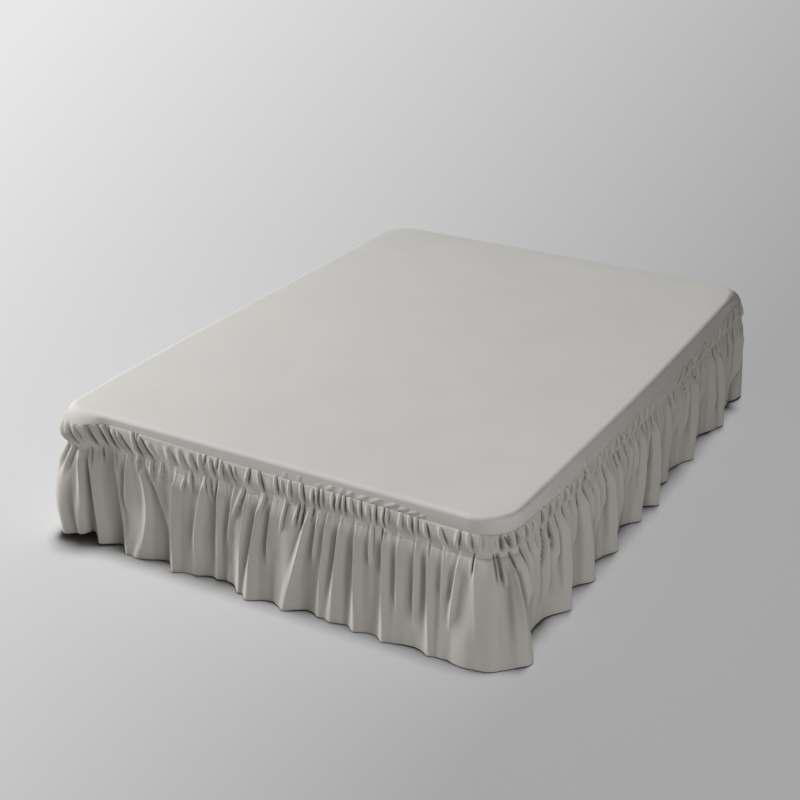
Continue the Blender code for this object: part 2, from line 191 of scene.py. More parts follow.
class Turn(NamedTuple):
    """A turning point of the deck's rolled edge.

    It has how far down the edge turns, how far in it starts and how much painted shade darkens the foot of the
    drop under it.
    """

    along: float
    radius: float
    reach: float
    # painted shade on the drop, strongest at its seam
    tone: float


class Bulge(NamedTuple):
    """How far before and after a corner its cloth stands further out, and how far out at each height."""

    before: float
    after: float
    roll: float
    top: float
    seam: float
    band: float
    waist: float
    skirt: float
    hem: float


FOOT_FOLDS = [Fold(*row) for row in (
    (-0.745, -0.742, -0.742, 0.01, 0.016, 1.0),
    (-0.7055, -0.697, -0.707, 0.016, 0.014, 1.0),
    (-0.679, -0.661, -0.656, 0.018, 0.006, 1.0),
    (-0.595, -0.562, -0.54, 0.022, 0.009, 1.0),
    (-0.543, -0.547, -0.526, 0.014, 0.018, 0.6),
    (-0.502, -0.458, -0.508, 0.018, 0.05, 1.0),
    (-0.468, -0.395, -0.39, 0.012, 0.022, 0.7),
    (-0.357, -0.355, -0.355, 0.024, 0.016, 1.0),
    (-0.25, -0.272, -0.272, 0.016, 0.018, 0.9),
    (-0.194, -0.195, -0.196, 0.018, 0.024, 1.0),
    (-0.138, -0.156, -0.162, 0.012, 0.018, 0.7),
    (-0.093, -0.099, -0.104, 0.02, 0.012, 1.0),
    (-0.042, -0.055, -0.068, 0.02, 0.014, 1.0),
    (0.002, -0.006, -0.014, 0.015, 0.007, 0.7),
    (0.128, 0.098, 0.068, 0.018, 0.026, 1.0),
    (0.16, 0.148, 0.14, 0.01, 0.014, 0.6),
    (0.192, 0.182, 0.176, 0.017, 0.008, 1.0),
    (0.237, 0.229, 0.222, 0.019, 0.015, 1.0),
    (0.288, 0.298, 0.308, 0.019, 0.012, 1.0),
    (0.338, 0.344, 0.35, 0.012, 0.008, 0.4),
    (0.38, 0.393, 0.405, 0.019, 0.01, 1.0),
    (0.425, 0.441, 0.454, 0.015, 0.012, 0.8),
    (0.484, 0.495, 0.505, 0.013, 0.012, 0.9),
    (0.522, 0.541, 0.558, 0.017, 0.014, 1.0),
    (0.573, 0.583, 0.592, 0.012, 0.009, 0.5),
    (0.623, 0.618, 0.606, 0.016, 0.018, 0.8),
    (0.664, 0.674, 0.684, 0.009, 0.03, 0.9),
)]

SIDE_FOLDS = [Fold(*row) for row in (
    (-0.97, -0.96, -0.95, 0.026, 0.024, 1.0),
    (-0.935, -0.915, -0.9, 0.014, 0.014, 0.6),
    (-0.895, -0.87, -0.85, 0.014, 0.014, 0.7),
    (-0.85, -0.825, -0.8, 0.016, 0.016, 0.9),
    (-0.785, -0.765, -0.745, 0.018, 0.02, 0.9),
    (-0.72, -0.712, -0.705, 0.014, 0.014, 0.5),
    (-0.672, -0.672, -0.67, 0.022, 0.024, 1.0),
    (-0.62, -0.623, -0.625, 0.012, 0.014, 0.5),
    (-0.573, -0.572, -0.57, 0.012, 0.014, 0.6),
    (-0.522, -0.5, -0.48, 0.018, 0.022, 1.0),
    (-0.468, -0.448, -0.43, 0.012, 0.014, 0.5),
    (-0.422, -0.402, -0.385, 0.014, 0.014, 0.7),
    (-0.375, -0.352, -0.335, 0.012, 0.014, 0.5),
    (-0.325, -0.305, -0.29, 0.02, 0.024, 1.0),
    (-0.255, -0.233, -0.215, 0.016, 0.018, 0.9),
    (-0.19, -0.18, -0.17, 0.012, 0.012, 0.5),
    (-0.14, -0.137, -0.135, 0.014, 0.014, 0.6),
    (-0.092, -0.098, -0.105, 0.012, 0.012, 0.5),
    (-0.047, -0.058, -0.07, 0.02, 0.022, 1.0),
    (0.005, 0.008, 0.01, 0.012, 0.014, 0.6),
    (0.051, 0.058, 0.063, 0.02, 0.02, 1.0),
    (0.091, 0.098, 0.105, 0.01, 0.01, 0.3),
    (0.137, 0.144, 0.15, 0.01, 0.012, 0.4),
    (0.225, 0.23, 0.235, 0.014, 0.024, 1.0),
    (0.317, 0.313, 0.31, 0.016, 0.018, 0.6),
    (0.391, 0.383, 0.375, 0.014, 0.016, 0.7),
    (0.46, 0.448, 0.437, 0.022, 0.026, 1.0),
    (0.51, 0.505, 0.5, 0.012, 0.012, 0.5),
    (0.587, 0.588, 0.59, 0.012, 0.016, 0.6),
    (0.66, 0.68, 0.7, 0.016, 0.018, 0.9),
    (0.725, 0.738, 0.75, 0.02, 0.016, 1.0),
    (0.788, 0.8, 0.81, 0.014, 0.012, 0.5),
    (0.87, 0.873, 0.875, 0.014, 0.02, 0.8),
    (0.945, 0.948, 0.95, 0.026, 0.02, 0.8),
)]

FOOT_SLITS = [Crease(*row) for row in (
    (-0.735, -0.738, 0.0, 0.32, 0.003, 0.01, 0.006),
    (-0.717, -0.727, 0.0, 0.34, 0.005, 0.003, 0.005),
    (-0.672, -0.666, 0.0, 0.16, 0.002, 0.007, 0.0035),
    (-0.64, -0.634, 0.0, 0.12, 0.004, 0.006, 0.0045),
    (-0.59, -0.582, 0.0, 0.13, 0.001, 0.004, 0.0035),
    (-0.497, -0.488, 0.0, 0.2, 0.004, 0.004, 0.004),
    (-0.444, -0.436, 0.0, 0.22, 0.005, 0.004, 0.004),
    (-0.405, -0.414, 0.0, 0.16, 0.005, 0.003, 0.0045),
    (-0.318, -0.324, 0.03, 0.18, 0.004, 0.003, 0.0035),
    (-0.297, -0.292, 0.0, 0.18, 0.005, 0.004, 0.0035),
    (-0.241, -0.238, 0.0, 0.1, 0.003, 0.008, 0.0035),
    (-0.23, -0.21, 0.0, 0.26, 0.005, 0.003, 0.004),
    (-0.205, -0.212, 0.0, 0.18, 0.004, 0.003, 0.004),
    (-0.102, -0.142, 0.0, 0.36, 0.005, 0.002, 0.005),
    (-0.026, -0.04, 0.0, 0.22, 0.003, 0.003, 0.004),
    (0.05, 0.038, 0.0, 0.3, 0.005, 0.004, 0.0035),
    (0.092, 0.08, 0.0, 0.2, 0.006, 0.005, 0.0035),
    (0.107, 0.1, 0.0, 0.22, 0.006, 0.007, 0.0035),
    (0.14, 0.132, 0.0, 0.12, 0.002, 0.006, 0.0035),
    (0.345, 0.352, 0.0, 0.34, 0.002, 0.004, 0.005),
    (0.372, 0.38, 0.0, 0.16, 0.001, 0.005, 0.0035),
    (0.526, 0.53, 0.0, 0.1, 0.001, 0.004, 0.0035),
    (0.661, 0.661, 0.0, 0.16, 0.001, 0.008, 0.0035),
    (0.712, 0.718, 0.0, 0.24, 0.002, 0.007, 0.0035),
    (0.755, 0.757, 0.0, 0.12, 0.001, 0.005, 0.003),
)]

SIDE_SLITS = [Crease(*row) for row in (
    (-0.998, -0.99, 0.0, 0.25, 0.003, 0.008, 0.0045),
    (-0.962, -0.955, 0.0, 0.18, 0.002, 0.006, 0.004),
    (-0.925, -0.918, 0.0, 0.22, 0.003, 0.006, 0.004),
    (-0.883, -0.878, 0.0, 0.2, 0.003, 0.006, 0.004),
    (-0.8, -0.792, 0.0, 0.42, 0.004, 0.011, 0.005),
    (-0.75, -0.728, 0.0, 0.34, 0.003, 0.01, 0.005),
    (-0.705, -0.7, 0.0, 0.18, 0.002, 0.006, 0.004),
    (-0.655, -0.652, 0.0, 0.2, 0.002, 0.006, 0.004),
    (-0.61, -0.606, 0.0, 0.18, 0.002, 0.006, 0.004),
    (-0.555, -0.548, 0.0, 0.2, 0.002, 0.006, 0.004),
    (-0.51, -0.482, 0.0, 0.36, 0.004, 0.012, 0.005),
    (-0.465, -0.455, 0.0, 0.18, 0.002, 0.006, 0.004),
    (-0.415, -0.407, 0.0, 0.16, 0.002, 0.005, 0.004),
    (-0.365, -0.338, 0.0, 0.24, 0.003, 0.007, 0.0045),
    (-0.325, -0.318, 0.0, 0.18, 0.002, 0.006, 0.004),
    (-0.275, -0.258, 0.0, 0.2, 0.002, 0.006, 0.004),
    (-0.235, -0.218, 0.0, 0.2, 0.002, 0.006, 0.004),
    (-0.19, -0.15, 0.0, 0.42, 0.004, 0.01, 0.005),
    (-0.14, -0.118, 0.0, 0.22, 0.002, 0.007, 0.0045),
    (-0.095, -0.088, 0.0, 0.16, 0.002, 0.006, 0.004),
    (-0.04, -0.022, 0.0, 0.62, 0.004, 0.012, 0.0055),
    (-0.005, 0.0, 0.0, 0.2, 0.002, 0.006, 0.004),
    (0.04, 0.045, 0.0, 0.18, 0.002, 0.005, 0.004),
    (0.085, 0.09, 0.0, 0.16, 0.002, 0.004, 0.004),
    (0.215, 0.238, 0.0, 0.36, 0.003, 0.01, 0.005),
    (0.265, 0.27, 0.0, 0.18, 0.002, 0.006, 0.004),
    (0.36, 0.384, 0.0, 0.24, 0.002, 0.006, 0.0045),
    (0.405, 0.41, 0.0, 0.18, 0.002, 0.006, 0.004),
    (0.455, 0.472, 0.0, 0.22, 0.002, 0.007, 0.0045),
    (0.555, 0.56, 0.0, 0.18, 0.002, 0.005, 0.004),
    (0.595, 0.6, 0.0, 0.18, 0.002, 0.005, 0.004),
    (0.685, 0.7, 0.0, 0.36, 0.003, 0.01, 0.005),
    (0.715, 0.745, 0.0, 0.24, 0.002, 0.007, 0.0045),
    (0.845, 0.862, 0.0, 0.36, 0.003, 0.01, 0.005),
    (0.905, 0.912, 0.0, 0.2, 0.002, 0.006, 0.004),
)]

FOOT_PLEATS = [Crease(*row) for row in (
    (-0.739, -0.708, 0.0, 0.9, 0.005, 0.01, 0.005),
    (-0.722, -0.696, 0.0, 0.95, 0.006, 0.01, 0.005),
    (-0.707, -0.684, 0.0, 0.8, 0.003, 0.005, 0.004),
    (-0.682, -0.645, 0.0, 1.0, 0.006, 0.009, 0.0045),
    (-0.652, -0.612, 0.0, 0.95, 0.003, 0.005, 0.004),
    (-0.63, -0.57, 0.0, 1.0, 0.007, 0.007, 0.005),
    (-0.618, -0.6, 0.0, 0.5, 0.004, 0.006, 0.0035),
    (-0.598, -0.528, 0.08, 1.0, 0.007, 0.006, 0.0045),
    (-0.578, -0.514, 0.12, 1.0, 0.007, 0.007, 0.0045),
    (-0.519, -0.48, 0.0, 1.0, 0.007, 0.009, 0.005),
    (-0.503, -0.492, 0.0, 0.6, 0.004, 0.007, 0.004),
    (-0.497, -0.43, 0.04, 1.0, 0.009, 0.008, 0.005),
    (-0.455, -0.405, 0.15, 0.9, 0.003, 0.002, 0.007),
    (-0.385, -0.35, 0.1, 0.9, 0.003, 0.003, 0.009),
    (-0.34, -0.31, 0.05, 0.9, 0.004, 0.003, 0.008),
    (-0.3, -0.268, 0.05, 0.95, 0.004, 0.004, 0.008),
    (-0.262, -0.248, 0.0, 1.0, 0.006, 0.003, 0.005),
    (-0.242, -0.252, 0.0, 0.45, 0.004, 0.009, 0.004),
    (-0.225, -0.206, 0.05, 0.95, 0.005, 0.006, 0.0045),
    (-0.198, -0.203, 0.0, 0.5, 0.003, 0.008, 0.004),
    (-0.182, -0.178, 0.0, 0.95, 0.006, 0.005, 0.004),
    (-0.158, -0.126, 0.05, 1.0, 0.006, 0.007, 0.0045),
    (-0.135, -0.128, 0.05, 0.7, 0.003, 0.004, 0.0035),
    (-0.082, -0.092, 0.0, 0.75, 0.005, 0.011, 0.0045),
    (-0.048, -0.03, 0.0, 1.0, 0.005, 0.01, 0.0045),
    (0.012, 0.018, 0.0, 0.85, 0.004, 0.008, 0.004),
    (0.034, 0.04, 0.05, 0.75, 0.003, 0.003, 0.004),
    (0.062, 0.065, 0.0, 1.0, 0.006, 0.005, 0.004),
    (0.102, 0.112, 0.0, 1.0, 0.006, 0.01, 0.0045),
    (0.142, 0.14, 0.05, 0.95, 0.005, 0.005, 0.004),
    (0.157, 0.16, 0.0, 1.0, 0.006, 0.008, 0.004),
    (0.174, 0.173, 0.0, 0.9, 0.006, 0.005, 0.004),
    (0.21, 0.211, 0.0, 0.9, 0.005, 0.006, 0.004),
    (0.233, 0.224, 0.0, 0.9, 0.006, 0.006, 0.0045),
    (0.247, 0.25, 0.0, 1.0, 0.004, 0.01, 0.004),
    (0.27, 0.278, 0.0, 0.8, 0.006, 0.004, 0.0045),
    (0.3, 0.304, 0.0, 0.95, 0.005, 0.008, 0.004),
    (0.328, 0.33, 0.05, 0.8, 0.003, 0.003, 0.005),
    (0.35, 0.35, 0.0, 1.0, 0.004, 0.009, 0.0045),
    (0.378, 0.378, 0.0, 1.0, 0.005, 0.009, 0.004),
    (0.392, 0.39, 0.0, 0.85, 0.006, 0.004, 0.0045),
    (0.436, 0.436, 0.0, 0.9, 0.006, 0.004, 0.005),
    (0.463, 0.47, 0.0, 0.9, 0.006, 0.007, 0.0045),
    (0.484, 0.487, 0.0, 0.9, 0.003, 0.006, 0.004),
    (0.512, 0.526, 0.05, 1.0, 0.006, 0.008, 0.0045),
    (0.558, 0.584, 0.05, 1.0, 0.007, 0.006, 0.0045),
    (0.618, 0.612, 0.0, 0.95, 0.006, 0.007, 0.005),
    (0.648, 0.657, 0.0, 0.95, 0.005, 0.005, 0.005),
    (0.68, 0.682, 0.0, 0.9, 0.002, 0.003, 0.006),
    (0.712, 0.716, 0.0, 0.95, 0.003, 0.003, 0.005),
    (0.738, 0.765, 0.05, 0.8, 0.004, 0.009, 0.004),
    (0.745, 0.772, 0.3, 0.95, 0.003, 0.008, 0.004),
)]

SIDE_PLEATS = [Crease(*row) for row in (
    (-0.992, -0.985, 0.0, 0.95, 0.004, 0.008, 0.0045),
    (-0.968, -0.96, 0.0, 0.9, 0.003, 0.005, 0.004),
    (-0.94, -0.93, 0.0, 1.0, 0.004, 0.008, 0.0045),
    (-0.898, -0.89, 0.0, 1.0, 0.004, 0.008, 0.0045),
    (-0.86, -0.852, 0.1, 0.9, 0.003, 0.003, 0.005),
    (-0.806, -0.8, 0.0, 1.0, 0.005, 0.01, 0.005),
    (-0.758, -0.75, 0.0, 1.0, 0.004, 0.009, 0.0045),
    (-0.716, -0.705, 0.0, 1.0, 0.003, 0.008, 0.0045),
    (-0.665, -0.655, 0.0, 1.0, 0.005, 0.011, 0.005),
    (-0.622, -0.612, 0.0, 0.9, 0.003, 0.005, 0.0045),
    (-0.572, -0.56, 0.1, 1.0, 0.003, 0.006, 0.0045),
    (-0.522, -0.512, 0.0, 1.0, 0.006, 0.013, 0.0055),
    (-0.5, -0.47, 0.1, 0.95, 0.003, 0.007, 0.0045),
    (-0.43, -0.418, 0.0, 1.0, 0.003, 0.007, 0.0045),
    (-0.378, -0.365, 0.0, 1.0, 0.003, 0.007, 0.0045),
    (-0.34, -0.328, 0.0, 0.9, 0.003, 0.005, 0.0045),
    (-0.288, -0.275, 0.0, 1.0, 0.004, 0.008, 0.0045),
    (-0.25, -0.225, 0.1, 1.0, 0.004, 0.008, 0.0045),
    (-0.2, -0.188, 0.0, 1.0, 0.003, 0.007, 0.0045),
    (-0.148, -0.138, 0.0, 1.0, 0.004, 0.008, 0.0045),
    (-0.098, -0.09, 0.0, 1.0, 0.003, 0.007, 0.0045),
    (-0.045, -0.035, 0.0, 0.9, 0.003, 0.006, 0.005),
    (0.01, 0.018, 0.1, 0.9, 0.002, 0.004, 0.005),
    (0.08, 0.085, 0.2, 0.8, 0.001, 0.002, 0.006),
    (0.315, 0.245, 0.0, 1.0, 0.004, 0.008, 0.005),
    (0.375, 0.305, 0.0, 1.0, 0.005, 0.009, 0.005),
    (0.425, 0.395, 0.0, 1.0, 0.003, 0.006, 0.0045),
    (0.535, 0.455, 0.0, 1.0, 0.004, 0.008, 0.005),
    (0.62, 0.6, 0.1, 0.8, 0.003, 0.009, 0.005),
    (0.705, 0.69, 0.0, 0.9, 0.003, 0.008, 0.005),
    (0.78, 0.745, 0.0, 1.0, 0.004, 0.007, 0.005),
    (0.85, 0.82, 0.0, 1.0, 0.004, 0.008, 0.005),
    (0.915, 0.895, 0.0, 1.0, 0.004, 0.007, 0.005),
    (0.965, 0.955, 0.0, 1.0, 0.004, 0.007, 0.005),
)]

FOOT_PUCKERS = [Crease(*row) for row in (
    (0.05, 0.042, 0.3, 1.1, 0.0022, 0.0016, 0.005),
    (0.098, 0.094, 0.25, 1.1, 0.0024, 0.0018, 0.005),
    (0.17, 0.15, 0.55, 1.2, 0.0026, 0.002, 0.0045),
    (0.212, 0.185, 0.4, 1.2, 0.003, 0.0022, 0.005),
    (0.245, 0.232, 0.35, 1.2, 0.003, 0.0022, 0.0045),
    (0.278, 0.252, 0.4, 1.2, 0.0034, 0.0026, 0.005),
    (0.325, 0.285, 0.45, 1.2, 0.0034, 0.0026, 0.005),
    (0.372, 0.325, 0.35, 1.2, 0.0036, 0.0026, 0.0055),
    (0.425, 0.372, 0.35, 1.2, 0.0038, 0.003, 0.0055),
    (0.458, 0.41, 0.5, 1.2, 0.0036, 0.0028, 0.005),
    (0.492, 0.44, 0.55, 1.2, 0.0034, 0.0026, 0.005),
    (0.515, 0.47, 0.65, 1.2, 0.003, 0.0024, 0.0045),
)]

SIDE_PUCKERS = [Crease(*row) for row in (
    (-0.7, -0.712, 0.55, 1.2, 0.0016, 0.0012, 0.006),
    (-0.515, -0.53, 0.5, 1.2, 0.002, 0.0016, 0.006),
    (0.345, 0.318, 0.4, 1.2, 0.0022, 0.0018, 0.006),
    (0.405, 0.378, 0.4, 1.2, 0.0022, 0.0018, 0.006),
    (0.565, 0.538, 0.4, 1.2, 0.002, 0.0016, 0.006),
    (0.88, 0.855, 0.4, 1.2, 0.002, 0.0016, 0.006),
)]

FOOT_HEM = [Wave(*row) for row in (
    (-0.735, 0.096, 0.011),
    (-0.712, 0.06, 0.024),
    (-0.685, 0.036, 0.036),
    (-0.655, 0.044, 0.006),
    (-0.59, 0.018, 0.004),
    (-0.538, 0.052, 0.0),
    (-0.48, 0.048, 0.0),
    (-0.4, 0.028, 0.003),
    (-0.35, 0.056, 0.0),
    (-0.28, 0.05, 0.0),
    (-0.21, 0.028, 0.003),
    (-0.15, 0.034, 0.003),
    (-0.095, 0.062, 0.0),
    (-0.055, 0.078, 0.0),
    (0.015, 0.058, 0.002),
    (0.068, 0.07, 0.0),
    (0.138, 0.046, 0.003),
    (0.2, 0.054, 0.0),
    (0.27, 0.052, 0.001),
    (0.315, 0.064, 0.0),
    (0.365, 0.055, 0.0),
    (0.415, 0.068, 0.0),
    (0.505, 0.054, 0.002),
    (0.56, 0.064, 0.0),
    (0.615, 0.064, 0.001),
    (0.665, 0.076, 0.0),
    (0.705, 0.088, 0.0),
)]

SIDE_HEM = [Wave(*row) for row in (
    (-0.999, 0.084, 0.0),
    (-0.948, 0.078, 0.001),
    (-0.885, 0.02, 0.003),
    (-0.84, 0.006, 0.004),
    (-0.77, 0.01, 0.004),
    (-0.672, 0.052, 0.0),
    (-0.575, 0.014, 0.003),
    (-0.48, 0.048, 0.0),
    (-0.385, 0.02, 0.003),
    (-0.287, 0.044, 0.0),
    (-0.145, 0.007, 0.004),
    (-0.07, 0.04, 0.0),
    (0.01, 0.02, 0.003),
    (0.063, 0.052, 0.0),
    (0.18, 0.012, 0.004),
    (0.24, 0.02, 0.002),
    (0.305, 0.008, 0.004),
    (0.437, 0.036, 0.0),
    (0.585, 0.003, 0.005),
    (0.745, 0.048, 0.0),
    (0.86, 0.016, 0.004),
    (0.94, 0.03, 0.002),
)]

FOOT_SEAM = [Shift(*row) for row in (
    (-0.73, 0.012),
    (-0.56, 0.014),
    (-0.4, 0.011),
    (-0.26, 0.005),
    (-0.1, 0.001),
    (0.15, 0.0),
    (0.4, -0.002),
    (0.56, -0.007),
    (0.7, -0.009),
)]

SIDE_SEAM = [Shift(*row) for row in (
    (-0.98, -0.009),
    (-0.8, -0.003),
    (-0.3, 0.0),
    (0.2, -0.002),
    (0.7, 0.001),
    (0.96, 0.004),
)]

FOOT_EDGE = [Turn(*row) for row in (
    (-0.745, 0.014, 0.016, 0.38),
    (-0.665, 0.014, 0.016, 0.02),
    (-0.4, 0.014, 0.014, 0.0),
    (0.2, 0.013, 0.013, 0.04),
    (0.6, 0.014, 0.014, 0.18),
)]

SIDE_EDGE = [Turn(*row) for row in (
    (-0.95, 0.014, 0.016, 0.08),
    (-0.6, 0.013, 0.016, 0.0),
    (0.3, 0.013, 0.016, 0.0),
    (0.8, 0.014, 0.018, 0.0),
    (0.96, 0.016, 0.02, 0.25),
)]

class Lamp(NamedTuple):
    """A sun, with its direction and its width in degrees, or an area light with its place and its width."""

    name: str
    kind: str
    at: tuple
    width: float
    strength: float


BED_LAMPS = [Lamp(*row) for row in (
    ("key", "SUN", (-0.78, -0.14, 0.60), 16.0, 2.32),
    ("left", "AREA", (-3.2, -1.2, 2.6), 1.5, 81.0),
    ("front", "AREA", (2.45, -1.95, 1.00), 0.6, 14.0),
    ("raking", "SUN", (0.14, -0.80, 0.30), 12.0, 0.21),
    ("side", "SUN", (0.60, -0.25, 0.76), 30.0, 0.145),
)]
FLOOR_LAMP = Lamp("overhead", "SUN", (-0.01, 0.16, 0.98), 15.0, 2.5)

BULGES = {
    "foot_left": Bulge(1.60, 0.13, 0.000, 0.036, 0.056, 0.014, 0.040, 0.022, 0.0),
    "head_right": Bulge(0.16, 0.13, 0.022, 0.000, 0.012, -0.002, 0.018, 0.000, -0.032),
}

# The bed's outline goes from side to side: foot, right, head and left. Each side's corner is at its end.
HALF_SIZES = np.array([WIDTH, LENGTH, WIDTH, LENGTH]) / 2
CORNERS = np.array([NEAR_CORNER, FAR_CORNER, NEAR_CORNER, FAR_CORNER])
CORNERS_BEFORE = np.roll(CORNERS, 1)
ARCS = CORNERS * math.pi / 2
RUNS = 2 * HALF_SIZES - CORNERS - CORNERS_BEFORE
STARTS = CORNERS_BEFORE[0] - HALF_SIZES[0] + np.concatenate([[0.0], np.cumsum(RUNS + ARCS)[:3]])
AROUND = float(np.sum(RUNS + ARCS))
SIDE_MIDDLES = STARTS - CORNERS_BEFORE + HALF_SIZES
NEAR_PLACE = float(STARTS[1] - NEAR_CORNER * math.pi / 4)
FAR_PLACES = {
    "foot_left": float(STARTS[0] - FAR_CORNER * math.pi / 4),
    "head_right": float(STARTS[2] - FAR_CORNER * math.pi / 4),
}


def place(along, out):
    """Plan points at distances round the bed's outline and out from it, and which way is outward there."""
    along = np.mod(np.asarray(along, float) - STARTS[0], AROUND) + STARTS[0]
    side = np.searchsorted(STARTS, along, side="right") - 1
    ahead = along - STARTS[side]
    on_run = np.minimum(ahead, RUNS[side])
    radius = CORNERS[side]
    heading = side * math.pi / 2
    turn = heading + (ahead - on_run) / radius
    forward = np.stack([np.cos(heading), np.sin(heading)], -1)
    outward = np.stack([np.sin(heading), -np.cos(heading)], -1)
    normal = np.stack([np.sin(turn), -np.cos(turn)], -1)
    depth = HALF_SIZES[(side + 1) % 4] - radius
    step = on_run - (HALF_SIZES - CORNERS_BEFORE)[side]
    middle = depth[..., None] * outward + step[..., None] * forward
    return CENTRE + middle + normal * (radius + np.asarray(out, float))[..., None], normal


def ease(share):
    """A smooth step from 0 to 1, level outside that range."""
    share = np.clip(share, 0.0, 1.0)
    return share * share * (3 - 2 * share)


def bell(away):
    return np.exp(-away * away)


def both_ways(foot_rows, side_rows):
    """(distance of a side's middle, its rows) for the foot, the right, the head and the left."""
    return zip(SIDE_MIDDLES, (foot_rows, side_rows, foot_rows, side_rows))


def eased_between(along, foot_rows, side_rows, column):
    """One column of turning points round the bed, eased between them."""
    places = []
    values = []
    for middle, rows in both_ways(foot_rows, side_rows):
        places += [middle + row.along for row in rows]
        values += [getattr(row, column) for row in rows]
    places = np.array(places)
    order = np.argsort(np.mod(places, AROUND))
    places = np.mod(places, AROUND)[order]
    values = np.array(values)[order]
    places = np.concatenate([places[-1:] - AROUND, places, places[:1] + AROUND])
    values = np.concatenate([values[-1:], values, values[:1]])
    along = np.mod(along, AROUND)
    after = np.clip(np.searchsorted(places, along, side="right"), 1, len(places) - 1)
    share = (along - places[after - 1]) / (places[after] - places[after - 1])
    return values[after - 1] + (values[after] - values[after - 1]) * ease(share)


def bulging(along, column):
    """One column of the corners' bulges at places round the bed."""
    total = np.zeros_like(along)
    for corner, bulge in BULGES.items():
        away = wrapped(along - FAR_PLACES[corner])
        reach = np.where(away < 0, bulge.before, bulge.after)
        total += getattr(bulge, column) * ease(1 - np.abs(away) / reach)
    return total


def bowing(along):
    """How far the bed's long edges bow out under the cloth, nothing at their ends."""
    total = np.zeros_like(along)
    for middle, half in zip(SIDE_MIDDLES[1::2], HALF_SIZES[1::2]):
        total += ease(1 - np.abs(wrapped(along - middle)) / half)
    return BOW * total


def on_long_sides(along):
    """1 along the long sides, fading to 0 near their ends."""
    total = np.zeros_like(along)
    for middle, half in zip(SIDE_MIDDLES[1::2], HALF_SIZES[1::2]):
        total += ease((half - SIDE_END - np.abs(wrapped(along - middle))) / SIDE_FADE)
    return total


def seam_line(along):
    """How far out the deck's lower edge is, which the band is sewn to."""
    return bulging(along, "seam") + bowing(along) + SIDE_LEAN * on_long_sides(along)


def wrapped(distance):
    """A distance round the bed, taken the shorter way."""
    return np.mod(distance + AROUND / 2, AROUND) - AROUND / 2


def creased(along, share, foot_rows, side_rows):
    """How far the short creases push the cloth out, at places round the bed and shares of its height."""
    total = np.zeros_like(along)
    for middle, rows in both_ways(foot_rows, side_rows):
        way, deeper = (1.0, 1.0) if rows is foot_rows else (-1.0, SIDE_SLITS_DEEPER)
        for row in rows:
            progress = (share - row.start) / (row.end - row.start)
            at = middle + row.at_start + (row.at_end - row.at_start) * progress
            slant = abs(row.at_end - row.at_start)
            away = way * wrapped(along - at) / (row.width * (1 + 9 * slant))
            begun = 1.0 if row.start == 0.0 else ease(progress / 0.15)
            shown = begun * (1 - ease((progress - 0.45) / 0.55)) * (progress > -0.01)
            total += deeper * shown * (row.ridge * bell(away + 0.9) - row.slit * bell(1.5 * (away - 0.35)))
    return total


def pleat_lean(along):
    """How far along the pleats near a place lean, from the band's top to its foot."""
    total = np.zeros_like(along)
    weights = np.full_like(along, 0.02)
    for middle, rows in both_ways(FOOT_PLEATS, SIDE_PLEATS):
        for row in rows:
            near = bell(wrapped(along - middle - row.at_start) / 0.05)
            total += near * (row.at_end - row.at_start) / (row.end - row.start)
            weights += near
    return total / weights


def gathers(along, share, seed, spacing, depth, length):
    """Fine uneven gathers that fade away from a gathering line, at share 0."""
    draw = np.random.default_rng(seed)
    count = int(AROUND / spacing)
    places = (np.arange(count) + draw.uniform(-0.38, 0.38, count)) * AROUND / count
    depths = depth * draw.uniform(0.3, 1.0, count)
    lengths = length * draw.uniform(0.4, 1.3, count)
    leans = draw.uniform(-0.02, 0.02, count)
    widths = draw.uniform(0.0028, 0.0048, count)
    total = np.zeros_like(along)
    for at, deep, long, lean, width in zip(places, depths, lengths, leans, widths):
        away = wrapped(along - at - lean * share) / width
        total += deep * bell(away) * (1 - ease(share / long))
    return total


def drawn_waves(along, share, seed, count, depth, shortest, longest):
    """Low uneven waves along the cloth, which drift as they go down."""
    draw = np.random.default_rng(seed)
    total = np.zeros_like(along)
    for _ in range(count):
        cycles = round(AROUND / draw.uniform(shortest, longest))
        drift = draw.uniform(-1.2, 1.2)
        phase = draw.uniform(0.0, 2 * math.pi)
        swell = 0.6 + 0.4 * np.sin(2 * math.pi * (along / AROUND * draw.integers(3, 9)) + phase)
        total += swell * np.sin(2 * math.pi * along * cycles / AROUND + phase + drift * share * math.pi)
    return total * depth / math.sqrt(count)


def softened(values, times):
    """Values round the bed, with each one blended with those beside it."""
    for _ in range(times):
        values = (np.roll(values, 1, 0) + 2 * values + np.roll(values, -1, 0)) / 4
    return values


def blurred(along, values, reach):
    """Values round the bed, row by row, with each one blended with those within a reach of it."""
    even = np.arange(0.0, AROUND, EVEN_STEP)
    kept = np.empty_like(values)
    fading = np.exp(-2 * (math.pi * reach * np.fft.rfftfreq(len(even), EVEN_STEP)) ** 2)
    for row in range(values.shape[1]):
        level = np.interp(even, along[:, row], values[:, row], period=AROUND)
        level = np.fft.irfft(np.fft.rfft(level) * fading, len(even))
        kept[:, row] = np.interp(along[:, row], even, level, period=AROUND)
    return kept


def painted_crease_shade(along, out):
    """How much painted shade darkens each place, from 0 on ridges and flats to 1 in a deep slit."""
    darkest = SHORT_SIDE_SHADE + (1 - SHORT_SIDE_SHADE) * on_long_sides(along)
    inwards = blurred(along, out, SHADE_REACH) - out - SHADE_START
    return darkest * np.clip(inwards / SHADE_DEPTH, 0.0, 1.0)


